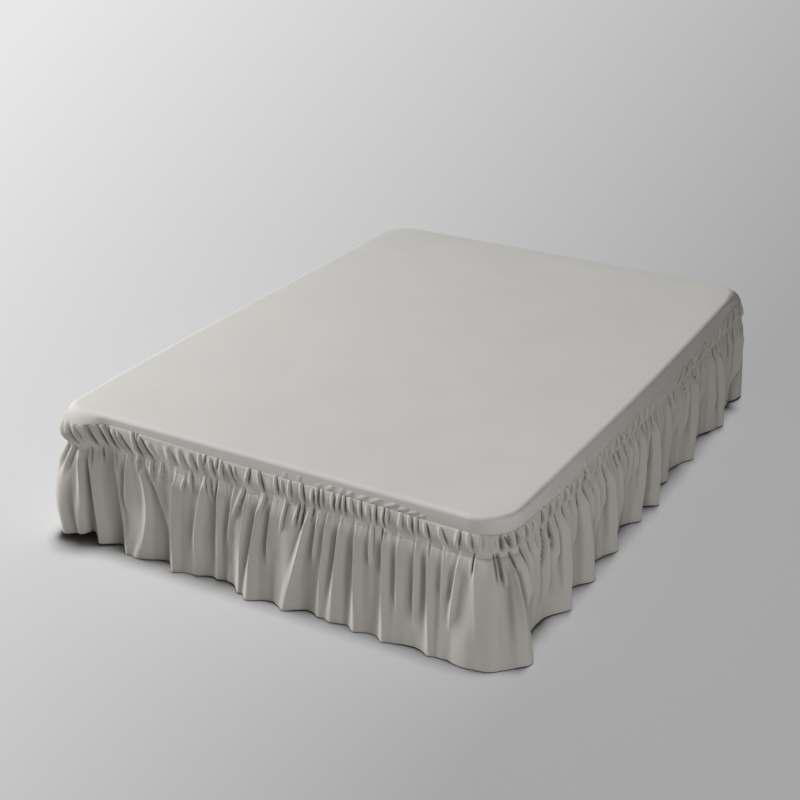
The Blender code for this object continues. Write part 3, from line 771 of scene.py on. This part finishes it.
def cloth_mesh(name, outer, inner, laid, closing_cap, material, hollow):
    """A closed shell of cloth from its outer and inner points, as (columns, rows, 3), and its weave's places.

    Columns go round the bed and rows go down. The inner skin takes fewer rows than the outer. The first rows
    are joined by a rim, or each closed by a cap where the shell has a middle.
    """
    columns, rows = outer.shape[:2]
    inner_rows = inner.shape[1]
    base = columns * rows
    here = np.arange(columns)
    after = here + 1
    there = after % columns
    quads = []
    places = []

    def add(corners, uv):
        quads.append(np.stack(corners, -1).reshape(-1, 4))
        places.append(np.stack(uv, -2).reshape(-1, 4, 2))

    def add_skin(first, count, order):
        picked = np.round(np.linspace(0, rows - 1, count)).astype(int)
        row = np.arange(count - 1)
        a = first + here[:, None] * count + row
        b = first + there[:, None] * count + row
        ring = [(a, here, row), (a + 1, here, row + 1), (b + 1, after, row + 1), (b, after, row)]
        ring = [ring[at] for at in order]
        add([corner for corner, _, _ in ring], [laid[column[:, None], picked[at]] for _, column, at in ring])

    add_skin(0, rows, (0, 1, 2, 3))
    add_skin(base, inner_rows, (0, 3, 2, 1))
    outer_end = rows - 1
    inner_end = base + inner_rows - 1
    add(
        [
            here * rows + outer_end,
            here * inner_rows + inner_end,
            there * inner_rows + inner_end,
            there * rows + outer_end,
        ],
        [laid[here, outer_end], laid[here, outer_end], laid[after, outer_end], laid[after, outer_end]],
    )
    if not closing_cap:
        add(
            [here * rows, there * rows, base + there * inner_rows, base + here * inner_rows],
            [laid[here, 0], laid[after, 0], laid[after, 0], laid[here, 0]],
        )
    faces = np.concatenate(quads).tolist()
    uv = np.concatenate(places).reshape(-1, 2)
    if closing_cap:
        faces.append((here * rows).tolist())
        faces.append((base + here * inner_rows)[::-1].tolist())
        uv = np.concatenate([uv, laid[here, 0], laid[here, 0][::-1]])
    mesh = bpy.data.meshes.new(name)
    mesh.from_pydata(np.concatenate([outer.reshape(-1, 3), inner.reshape(-1, 3)]).tolist(), [], faces)
    mesh.uv_layers.new(name="weave").data.foreach_set("uv", uv.astype(np.float32).ravel())
    # Painted shade: how much the outer skin's colour darkens; the inner skin gets none.
    depths = np.zeros(len(mesh.vertices), np.float32)
    depths[:base] = np.broadcast_to(hollow, (columns, rows)).ravel()
    mesh.attributes.new("hollow", "FLOAT", "POINT").data.foreach_set("value", depths)
    mesh.update()
    mesh.shade_smooth()
    mesh.set_sharp_from_angle(angle=math.radians(70))
    mesh.materials.append(material)
    piece = bpy.data.objects.new(name, mesh)
    bpy.context.scene.collection.objects.link(piece)
    return piece


def standing(along, out, level):
    """3-D points of cloth round the bed, and which way is outward there."""
    plan, normal = place(along, out)
    points = np.concatenate([plan, np.broadcast_to(level, along.shape)[..., None]], -1)
    outward = np.concatenate([normal, np.zeros(along.shape + (1,))], -1)
    return points, outward


def columns_between(lines, spacings, marks):
    """Each column's share of the way between two neighbouring lines, and the index of the line before it.

    Columns crowd together at the lines and at the marked places between them.
    """
    shares = []
    before = []
    for index, (at, spacing) in enumerate(zip(lines, spacings)):
        gap = (lines[index + 1] if index + 1 < len(lines) else lines[0] + AROUND) - at
        fine = np.linspace(0.0, 1.0, 200)
        away = wrapped(at + gap * fine[:, None] - np.concatenate([marks, [at, at + gap]]))
        crowding = 1 + CROWDING * np.max(bell(away / CROWDING_REACH), 1)
        passed = np.concatenate([[0.0], np.cumsum((crowding[1:] + crowding[:-1]) / 2)])
        passed = passed * gap / (len(fine) - 1)
        count = max(6, round(passed[-1] / spacing))
        shares.append(np.interp(np.arange(count) / count * passed[-1], passed, fine))
        before.append(np.full(count, index))
    return np.concatenate(shares), np.concatenate(before)


def curve_through(top, mid, bottom, share):
    """A value that passes through three others at the top, the middle and the bottom."""
    return (
        top * (1 - share) * (1 - 2 * share)
        + mid * 4 * share * (1 - share)
        + bottom * share * (2 * share - 1)
    )


def skirt_shape(settings):
    """The skirt's places and its distances out, as (columns, rows), and the shares of its drop."""
    share = np.linspace(0.0, 1.0, SKIRT_ROWS) ** 1.3
    folds = []
    for middle, rows in both_ways(FOOT_FOLDS, SIDE_FOLDS):
        folds += [(middle, row) for row in rows]
    crest = np.array([m + curve_through(f.at_waist, f.at_mid, f.at_hem, share) for m, f in folds])
    on_long = np.array([middle in SIDE_MIDDLES[1::2] for middle, _ in folds])
    depth = np.array([f.depth for _, f in folds])[:, None] * np.where(on_long, SIDE_FULLNESS, 1.0)[:, None]
    runs = np.array([f.runs for _, f in folds])[:, None]
    flank = np.array([f.flank for _, f in folds])[:, None] * (0.35 + 1.05 * share)
    grown = ease(share / 0.14)[None, :]
    faded = 1 - ease((share[None, :] - 0.6 * runs) / (0.4 * runs))
    faded = np.where(runs >= 1.0, settings.kept_at_hem + (1 - settings.kept_at_hem) * faded, faded)
    height = GATHER * (1 - grown) + settings.fold_depth * depth * grown * faded
    fine = [FINE_FROM < middle + fold.at_waist < FINE_TO for middle, fold in folds]
    spacings = np.where(fine, *SKIRT_COLUMNS)
    marks = [middle + slit.at_start for middle, rows in both_ways(FOOT_SLITS, SIDE_SLITS) for slit in rows]
    across, before = columns_between(crest[:, 0], spacings, marks)
    after = (before + 1) % len(folds)
    lap = np.where(after == 0, AROUND, 0.0)[:, None]
    gap = crest[after] + lap - crest[before]
    along = crest[before] + gap * across[:, None]
    ahead = gap * across[:, None]
    long_side = on_long[before][:, None]
    steep = np.minimum(np.where(long_side, flank[before], flank[after]), 0.55 * gap)
    panel = np.where(long_side, steep, gap - steep)
    fall = np.clip(1 - ahead / panel, 0.0, 1.0) ** np.where(long_side, SIDE_FALL, FALL)
    rise = np.clip((ahead - panel) / (gap - panel), 0.0, 1.0) ** 1.7
    out = height[before] * fall + height[after] * rise
    out = softened(out, 1)
    rounded = np.where(long_side, blurred(along, out, 0.010), blurred(along, out, 0.008))
    out = out + (rounded - out) * ease((share - 0.4) / 0.6)
    down = np.broadcast_to(share, along.shape)
    out = out + settings.slit_depth * creased(along, down, FOOT_SLITS, SIDE_SLITS)
    out = out + gathers(along, down, GATHER_SEED, 0.014, 0.0020, 0.20)
    out = out + drawn_waves(along, down, SKIRT_SEED, 6, 0.0012, 0.035, 0.09) * ease(down / 0.3)
    out = np.maximum(out + WAIST_OUT, -CLEAR)
    power = RISE - NEAR_RISE * bell(wrapped(along - NEAR_PLACE) / 0.11)
    hem = eased_between(along, FOOT_HEM, SIDE_HEM, "out") + bulging(along, "hem") - TUCK
    out = out + np.maximum(hem, 0.0) * down**power
    out = out + (bulging(along, "waist") + bowing(along)) * (1 - down)
    out = out + bulging(along, "skirt") * np.sin(math.pi * down)
    return along, out, down


def waist_line(settings, along):
    """How far out the skirt's top edge is, at places round the bed."""
    places, out, _ = skirt_shape(settings)
    return np.interp(along, places[:, 0], out[:, 0], period=AROUND)


def colour(name, description, default):
    return bpy.props.FloatVectorProperty(
        name=name, description=description, subtype="COLOR", size=3, min=0.0, max=1.0, default=default
    )


def number(name, description, low, high, default, **kind):
    return bpy.props.FloatProperty(
        name=name, description=description, min=low, max=high, default=default, **kind
    )


class BedSkirtSettings(bpy.types.PropertyGroup):
    cloth_color: colour("Cloth", "Colour of the cloth", (0.60, 0.588, 0.56))
    # The skirt and the band are drawn in a darker colour than the deck's cloth.
    skirt_color: colour("Skirt and band", "Colour of the gathered cloth", (0.520, 0.495, 0.458))
    base_color: colour("Base", "Colour of the bed base", (0.52, 0.50, 0.47))
    foot_color: colour("Feet", "Colour of the feet", (0.012, 0.012, 0.012))
    thread_pitch: number(
        "Thread pitch", "Distance from one thread of the cloth to the next", 0.0002, 0.003, 0.0007,
        subtype="DISTANCE", unit="LENGTH",
    )
    fold_depth: number("Fold depth", "How deep the skirt's folds are, as a factor", 0.2, 1.4, 1.0)
    kept_at_hem: number("Fold kept at hem", "Share of a long fold's depth left at the hem", 0.1, 1.0, 0.8)
    slit_depth: number("Slit depth", "How deep the gathered cloth's creases are, as a factor", 0.0, 2.0, 1.5)
    edge_factor: number("Edge radius", "Radius of the deck's rolled edge, as a factor", 0.5, 1.1, 1.0)


class BedSkirtStage(bpy.types.PropertyGroup):
    # Painted light: the floor's colour runs from this pale tone, where the light is strongest, to the darker
    # one at the near right.
    painted_floor_lit: colour("Floor, light", "Colour of the floor at the far left", (0.965, 0.968, 0.975))
    painted_floor_shaded: colour("Floor, dark", "Colour of the floor at the near right", (0.443, 0.446, 0.452))
    bed_lights: number("Lights", "Strength of the lights on the bed, as a factor", 0.0, 4.0, 1.0)
    floor_strength: number("Floor light", "Strength of the floor's light", 0.0, 10.0, FLOOR_LAMP.strength)
    sky: number("Sky", "Strength of the even light from all round", 0.0, 2.0, 0.06)


def new_material(name):
    """A new material with its node tree and its shader."""
    made = bpy.data.materials.new(name)
    made.use_nodes = True
    return made, made.node_tree, made.node_tree.nodes["Principled BSDF"]


def fill(tree, node, inputs):
    """Sets a node's inputs to plain values, or joins them to other nodes' outputs."""
    for name, value in inputs.items():
        if isinstance(value, bpy.types.NodeSocket):
            tree.links.new(value, node.inputs[name])
        else:
            node.inputs[name].default_value = value


def add_node(tree, kind, inputs, **values):
    """The outputs of a new node of a kind, with its settings and inputs made."""
    node = tree.nodes.new(kind)
    for name, value in values.items():
        setattr(node, name, value)
    fill(tree, node, inputs)
    return node.outputs


def fabric(name, color, pitch, weave_from):
    """A plain woven microfibre: fine threads one over one, a faint mottle and a soft bloom."""
    made, tree, shader = new_material(name)
    source = add_node(tree, "ShaderNodeTexCoord", {})
    scale = 2 * math.pi / pitch / 20.0  # a wave texture has 20 waves in 2 pi at scale 1
    threads = add_node(tree, "ShaderNodeMapping", {"Vector": source[weave_from], "Scale": (scale,) * 3})
    banded = {"Vector": threads["Vector"], "Scale": 1.0, "Distortion": 0.6, "Detail": 1.0}
    kinds = {"wave_type": "BANDS", "wave_profile": "SIN"}
    warp, weft = [
        add_node(tree, "ShaderNodeTexWave", banded, bands_direction=way, **kinds) for way in ("X", "Y")
    ]
    weave = add_node(tree, "ShaderNodeMath", {0: warp["Fac"], 1: weft["Fac"]}, operation="MULTIPLY")
    noises = [{"Scale": 420.0, "Detail": 3.0}, {"Scale": 5.0, "Detail": 4.0}]
    slub, mottle = [
        add_node(tree, "ShaderNodeTexNoise", {"Vector": source["Object"], **noise})["Fac"] for noise in noises
    ]
    tone = add_node(tree, "ShaderNodeMath", {0: slub, 1: 0.45, 2: mottle}, operation="MULTIPLY_ADD")
    shifted = add_node(tree, "ShaderNodeMath", {0: tone[0], 1: 0.22}, operation="SUBTRACT", use_clamp=True)
    darker = (*[c * 0.955 for c in color], 1.0)
    paler = (*[min(1.0, c * 1.045) for c in color], 1.0)
    mixed = mixed_color(tree, shifted[0], darker, paler)
    # Painted shade: the colour darkens towards a deep tint in the creases and down the deck's drop.
    hollow = add_node(tree, "ShaderNodeAttribute", {}, attribute_name="hollow")
    shaded_color = (*[c * share for c, share in zip(color, SHADE_TINT)], 1.0)
    raised = add_node(tree, "ShaderNodeBump", {"Height": weave[0], "Strength": 0.35, "Distance": 0.00012})
    creped = {"Height": slub, "Normal": raised["Normal"], "Strength": 0.25, "Distance": 0.0004}
    fill(tree, shader, {
        "Base Color": mixed_color(tree, hollow["Fac"], mixed, shaded_color),
        "Normal": add_node(tree, "ShaderNodeBump", creped)["Normal"],
        "Roughness": 0.82,
        "Sheen Weight": 0.12,
        "Sheen Roughness": 0.45,
        "Specular IOR Level": 0.25,
    })
    return made


def mixed_color(tree, factor, first, second):
    inputs = {"Factor": factor, "A": first, "B": second}
    return add_node(tree, "ShaderNodeMix", inputs, data_type="RGBA")["Result"]


def plastic(name, color):
    """Moulded black plastic with a fine grain."""
    made, tree, shader = new_material(name)
    place_on = add_node(tree, "ShaderNodeTexCoord", {})["Object"]
    grain = add_node(tree, "ShaderNodeTexNoise", {"Vector": place_on, "Scale": 900.0})["Fac"]
    wear = add_node(tree, "ShaderNodeTexNoise", {"Vector": place_on, "Scale": 30.0})["Fac"]
    raised = {"Height": grain, "Strength": 0.3, "Distance": 0.0002}
    rough = {"Value": wear, "To Min": 0.45, "To Max": 0.65}
    fill(tree, shader, {
        "Base Color": mixed_color(tree, wear, (*color, 1.0), (*[c * 1.8 for c in color], 1.0)),
        "Roughness": add_node(tree, "ShaderNodeMapRange", rough)["Result"],
        "Normal": add_node(tree, "ShaderNodeBump", raised)["Normal"],
        "Specular IOR Level": 0.4,
    })
    return made


def gathered_cloth(settings):
    """The gathered pieces' material, made once for both."""
    return bpy.data.materials.get("gathered_cloth") or fabric(
        "gathered_cloth", settings.skirt_color, settings.thread_pitch, "UV"
    )


class BEDSKIRT_OT_skirt(bpy.types.Operator):
    """Make the gathered skirt from the waist to the floor"""

    bl_idname = "bedskirt.skirt"
    bl_label = "Skirt"

    def execute(self, context):
        settings = context.scene.bed_skirt
        along, out, down = skirt_shape(settings)
        low = HEM + eased_between(along, FOOT_HEM, SIDE_HEM, "lift")
        level = (WAIST - GAP) + (low - (WAIST - GAP)) * down
        outer, outward = standing(along, out, level)
        inner = (outer - outward * THICK)[:, ::2]
        laid = np.stack([along * SKIRT_UV_FULLNESS, -down * (WAIST - HEM)], -1)
        laid = np.concatenate([laid, laid[:1] + [AROUND * SKIRT_UV_FULLNESS, 0.0]])
        made = gathered_cloth(settings)
        piece = cloth_mesh("skirt_cloth_panel", outer, inner, laid, False, made, painted_crease_shade(along, out))
        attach(piece, "root")
        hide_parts("skirt")
        return {"FINISHED"}


class BEDSKIRT_OT_band(bpy.types.Operator):
    """Make the ruched header band between the deck's seam and the waist"""

    bl_idname = "bedskirt.band"
    bl_label = "Header band"

    def execute(self, context):
        settings = context.scene.bed_skirt
        places = []
        stretches = (FINE_FROM, FINE_TO), (FINE_TO, AROUND + FINE_FROM)
        for (start, stop), spacing in zip(stretches, BAND_COLUMNS):
            count = round((stop - start) / spacing)
            places.append(start + (stop - start) * np.arange(count) / count)
        even = np.linspace(0.0, 1.0, BAND_ROWS)
        share = (1 - np.cos(math.pi * even)) / 4 + even / 2
        start = np.concatenate(places)
        along = start[:, None] + pleat_lean(start)[:, None] * share
        down = np.broadcast_to(share, along.shape)
        puff = np.sin(math.pi * down)
        held = 0.25 + 0.75 * puff
        out = settings.slit_depth * creased(along, down, FOOT_PLEATS, SIDE_PLEATS) * held
        out = out + drawn_waves(along, down, BAND_SEED, 6, 0.0012, 0.03, 0.08) * held
        lip = SEAM_LIP * (1 - SIDE_LIP_LOST * on_long_sides(along))
        out = np.maximum(out + lip * ease(down / 0.06) + BAND_PUFF * puff, -CLEAR)
        out = out + bulging(along, "band") * puff + seam_line(along) * (1 - down)
        out = out + (bulging(along, "waist") + bowing(along)) * down
        met = ease((down - 0.7) / 0.3)
        out = out * (1 - met) + waist_line(settings, along) * met
        top = SEAM + eased_between(along, FOOT_SEAM, SIDE_SEAM, "up")
        level = top + (WAIST - top) * down
        outer, outward = standing(along, out, level)
        inner = (outer - outward * THICK)[:, ::2]
        longer, higher = BAND_UV_FULLNESS
        laid = np.stack([along * longer, -down * (SEAM - WAIST) * higher], -1)
        laid = np.concatenate([laid, laid[:1] + [AROUND * longer, 0.0]])
        made = gathered_cloth(settings)
        piece = cloth_mesh("header_band_cloth", outer, inner, laid, False, made, painted_crease_shade(along, out))
        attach(piece, "root")
        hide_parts("header_band")
        return {"FINISHED"}


class BEDSKIRT_OT_deck(bpy.types.Operator):
    """Make the smooth top panel and its drop to the header band's seam"""

    bl_idname = "bedskirt.deck"
    bl_label = "Deck"

    def execute(self, context):
        settings = context.scene.bed_skirt
        count = round(AROUND / DECK_COLUMNS)
        edge = STARTS[0] + AROUND * np.arange(count) / count
        radius, reach, tone = [
            eased_between(edge, FOOT_EDGE, SIDE_EDGE, column) for column in ("radius", "reach", "tone")
        ]
        radius = settings.edge_factor * (radius + bulging(edge, "roll"))
        reach = settings.edge_factor * (reach + bulging(edge, "roll"))
        seam = SEAM + GAP + eased_between(edge, FOOT_SEAM, SIDE_SEAM, "up")
        points, laid = self.skin(edge, seam, radius, reach, HEIGHT, 0.0, *DECK_ROWS)
        thinner = (radius - DECK_THICK, reach - DECK_THICK)
        inner, _ = self.skin(edge, seam, *thinner, HEIGHT - DECK_THICK, -DECK_THICK, *DECK_INNER_ROWS)
        fallen = (HEIGHT - points[:, :, 2]) / (HEIGHT - seam)[:, None]
        laid = np.concatenate([laid, laid[:1]])
        made = fabric("deck_cloth", settings.cloth_color, settings.thread_pitch, "UV")
        # Painted shade: the drop's colour darkens towards its seam, as far as each turn's tone says.
        piece = cloth_mesh("deck_cloth", points, inner, laid, True, made, tone[:, None] * ease(fallen))
        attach(piece, "root")
        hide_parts("deck")
        return {"FINISHED"}

    def skin(self, edge, seam, radius, reach, top, out, flats, turns, falls):
        """One skin of the deck, from its middle out over the rolled edge and down to the seam."""
        points = []
        laid = []
        rim, outward = place(edge, out - reach + bowing(edge))
        rim[:, 0] += np.sign(rim[:, 0] - CENTRE[0]) * bulging(edge, "top")
        foot, _ = place(edge, out + seam_line(edge))
        turned = math.pi / 2 - SIDE_SLACK * on_long_sides(edge)
        shift = foot - rim - outward * (reach * np.sin(turned))[:, None]
        for share in np.linspace(0.02, 1.0, flats, endpoint=False):
            plan = CENTRE + (rim - CENTRE) * share
            points.append(np.column_stack([plan, np.full(len(edge), top)]))
            laid.append(plan)
        for share in np.linspace(0.0, 1.0, turns, endpoint=False):
            angle = turned * share
            height = top - radius + radius * np.cos(angle)
            leant = shift * ((top - height) / (top - seam))[:, None]
            plan = rim + outward * (reach * np.sin(angle))[:, None] + leant
            points.append(np.column_stack([plan, height]))
            laid.append(rim + outward * (reach * angle)[:, None])
        start = top - radius + radius * np.cos(turned)
        for share in np.linspace(0.0, 1.0, falls):
            height = start + (seam - start) * share
            leant = shift * ((top - height) / (top - seam))[:, None]
            pucker = creased(edge, np.full(len(edge), share), FOOT_PUCKERS, SIDE_PUCKERS)
            plan = rim + outward * (reach * np.sin(turned) + pucker)[:, None] + leant
            points.append(np.column_stack([plan, height]))
            laid.append(rim + outward * (reach * turned + start - height)[:, None])
        return np.stack(points, 1), np.stack(laid, 1)


class BEDSKIRT_OT_bed(bpy.types.Operator):
    """Finish the bed base and its feet, which keep their CAD shape"""

    bl_idname = "bedskirt.bed"
    bl_label = "Bed base and feet"

    def execute(self, context):
        settings = context.scene.bed_skirt
        cover = fabric("base_cover", settings.base_color, 0.0012, "Object")
        feet = plastic("foot_plastic", settings.foot_color)
        for name in frame["nodes"]:
            if name == "bed_base" or name.startswith("foot_"):
                piece = bpy.data.objects[name]
                piece.data.materials.clear()
                piece.data.materials.append(cover if name == "bed_base" else feet)
        return {"FINISHED"}


class BEDSKIRT_OT_stage(bpy.types.Operator):
    """Set the floor, the soft lights and the camera"""

    bl_idname = "bedskirt.stage"
    bl_label = "Stage"

    def execute(self, context):
        stage = context.scene.bed_skirt_stage
        bpy.ops.object.select_all(action="DESELECT")
        bpy.ops.mesh.primitive_plane_add(size=FLOOR_SIZE, location=(0.0, 0.0, 0.0))
        floor = context.active_object
        floor.name = "floor"
        floor.data.materials.append(self.floor_material(stage))
        whole = bpy.data.collections.new("lit_bed")
        for piece in bpy.data.objects:
            if piece.type == "MESH" and piece != floor:
                whole.objects.link(piece)
        ground = bpy.data.collections.new("lit_floor")
        ground.objects.link(floor)
        for lamp in BED_LAMPS:
            self.light(lamp, lamp.strength * stage.bed_lights, whole)
        self.light(FLOOR_LAMP, stage.floor_strength, ground)
        world = bpy.data.worlds.new("sky")
        world.use_nodes = True
        background = world.node_tree.nodes["Background"]
        fill(world.node_tree, background, {"Color": SKY_COLOR, "Strength": stage.sky})
        context.scene.world = world
        context.scene.view_settings.view_transform = "Standard"
        view = bpy.data.cameras.new("view")
        view.lens = VIEW_LENS
        view.sensor_width = VIEW_SENSOR
        view.clip_end = VIEW_END
        camera = bpy.data.objects.new("view", view)
        forward = Vector(VIEW_FORWARD).normalized()
        right = forward.cross(Vector((0.0, 0.0, 1.0))).normalized()
        up = right.cross(forward)
        turn = Matrix((right, up, -forward)).transposed().to_4x4()
        camera.matrix_world = Matrix.Translation(Vector((*CENTRE, 0.0)) + Vector(VIEW_FROM)) @ turn
        context.scene.collection.objects.link(camera)
        context.scene.camera = camera
        return {"FINISHED"}

    def light(self, lamp, strength, lit):
        """A lamp on the objects of one collection. An area light faces the middle of the bed."""
        data = bpy.data.lights.new(lamp.name, lamp.kind)
        data.energy = strength
        made = bpy.data.objects.new(lamp.name, data)
        if lamp.kind == "SUN":
            data.angle = math.radians(lamp.width)
            facing = -Vector(lamp.at)
        else:
            data.size = lamp.width
            made.location = lamp.at
            facing = Vector((0.0, 0.0, WAIST)) - Vector(lamp.at)
        made.rotation_euler = facing.to_track_quat("-Z", "Y").to_euler()
        bpy.context.scene.collection.objects.link(made)
        made.light_linking.receiver_collection = lit

    def floor_material(self, stage):
        """A matt floor whose colour paints the fall of light on it, paling towards its far left."""
        made, tree, shader = new_material("floor")
        source = add_node(tree, "ShaderNodeTexCoord", {})
        split = add_node(tree, "ShaderNodeSeparateXYZ", {"Vector": source["Object"]})

        def math_of(operation, first, second):
            return add_node(tree, "ShaderNodeMath", {0: first, 1: second}, operation=operation)["Value"]

        across = math_of("SUBTRACT", split["X"], FAN_MIDDLE[0])
        back = math_of("SUBTRACT", split["Y"], FAN_MIDDLE[1])
        squares = math_of("ADD", math_of("POWER", across, 2.0), math_of("POWER", back, 2.0))
        near = math_of("MULTIPLY", math_of("POWER", squares, -0.5), FAN_NEAR)
        bearing = math_of("SUBTRACT", math_of("ARCTAN2", back, across), near)
        spread = {"Value": bearing, "From Min": FAN_DARK, "From Max": FAN_LIGHT}
        ranged = add_node(tree, "ShaderNodeMapRange", spread, interpolation_type="LINEAR")["Result"]
        begun = {"Value": back, "From Max": FAN_BEGINS}
        behind = add_node(tree, "ShaderNodeMapRange", begun, interpolation_type="SMOOTHSTEP")["Result"]
        # Painted light: how much of the pale, lit floor colour shows at each place.
        painted_light_mask = math_of("MULTIPLY", ranged, behind)
        fill(tree, shader, {
            "Base Color": mixed_color(tree, painted_light_mask, (*stage.painted_floor_shaded, 1.0), (*stage.painted_floor_lit, 1.0)),
            "Roughness": 0.9,
            "Specular IOR Level": 0.1,
        })
        return made


class BEDSKIRT_PT_panel(bpy.types.Panel):
    bl_idname = "BEDSKIRT_PT_panel"
    bl_label = "Bed Skirt"
    bl_space_type = "VIEW_3D"
    bl_region_type = "UI"
    bl_category = "Bed Skirt"

    def draw(self, context):
        for group in (context.scene.bed_skirt, context.scene.bed_skirt_stage):
            for name in group.__annotations__:
                self.layout.prop(group, name)
        for operator in OPERATORS:
            self.layout.operator(operator.bl_idname)


OPERATORS = (BEDSKIRT_OT_deck, BEDSKIRT_OT_band, BEDSKIRT_OT_skirt, BEDSKIRT_OT_bed, BEDSKIRT_OT_stage)
CLASSES = (BedSkirtSettings, BedSkirtStage, *OPERATORS, BEDSKIRT_PT_panel)


def register():
    for made in CLASSES:
        bpy.utils.register_class(made)
    bpy.types.Scene.bed_skirt = bpy.props.PointerProperty(type=BedSkirtSettings)
    bpy.types.Scene.bed_skirt_stage = bpy.props.PointerProperty(type=BedSkirtStage)


def unregister():
    del bpy.types.Scene.bed_skirt_stage
    del bpy.types.Scene.bed_skirt
    for made in reversed(CLASSES):
        bpy.utils.unregister_class(made)


def main():
    register()
    bpy.ops.bedskirt.deck()
    bpy.ops.bedskirt.band()
    bpy.ops.bedskirt.skirt()
    bpy.ops.bedskirt.bed()
    bpy.ops.bedskirt.stage()


if __name__ == "__main__":
    main()
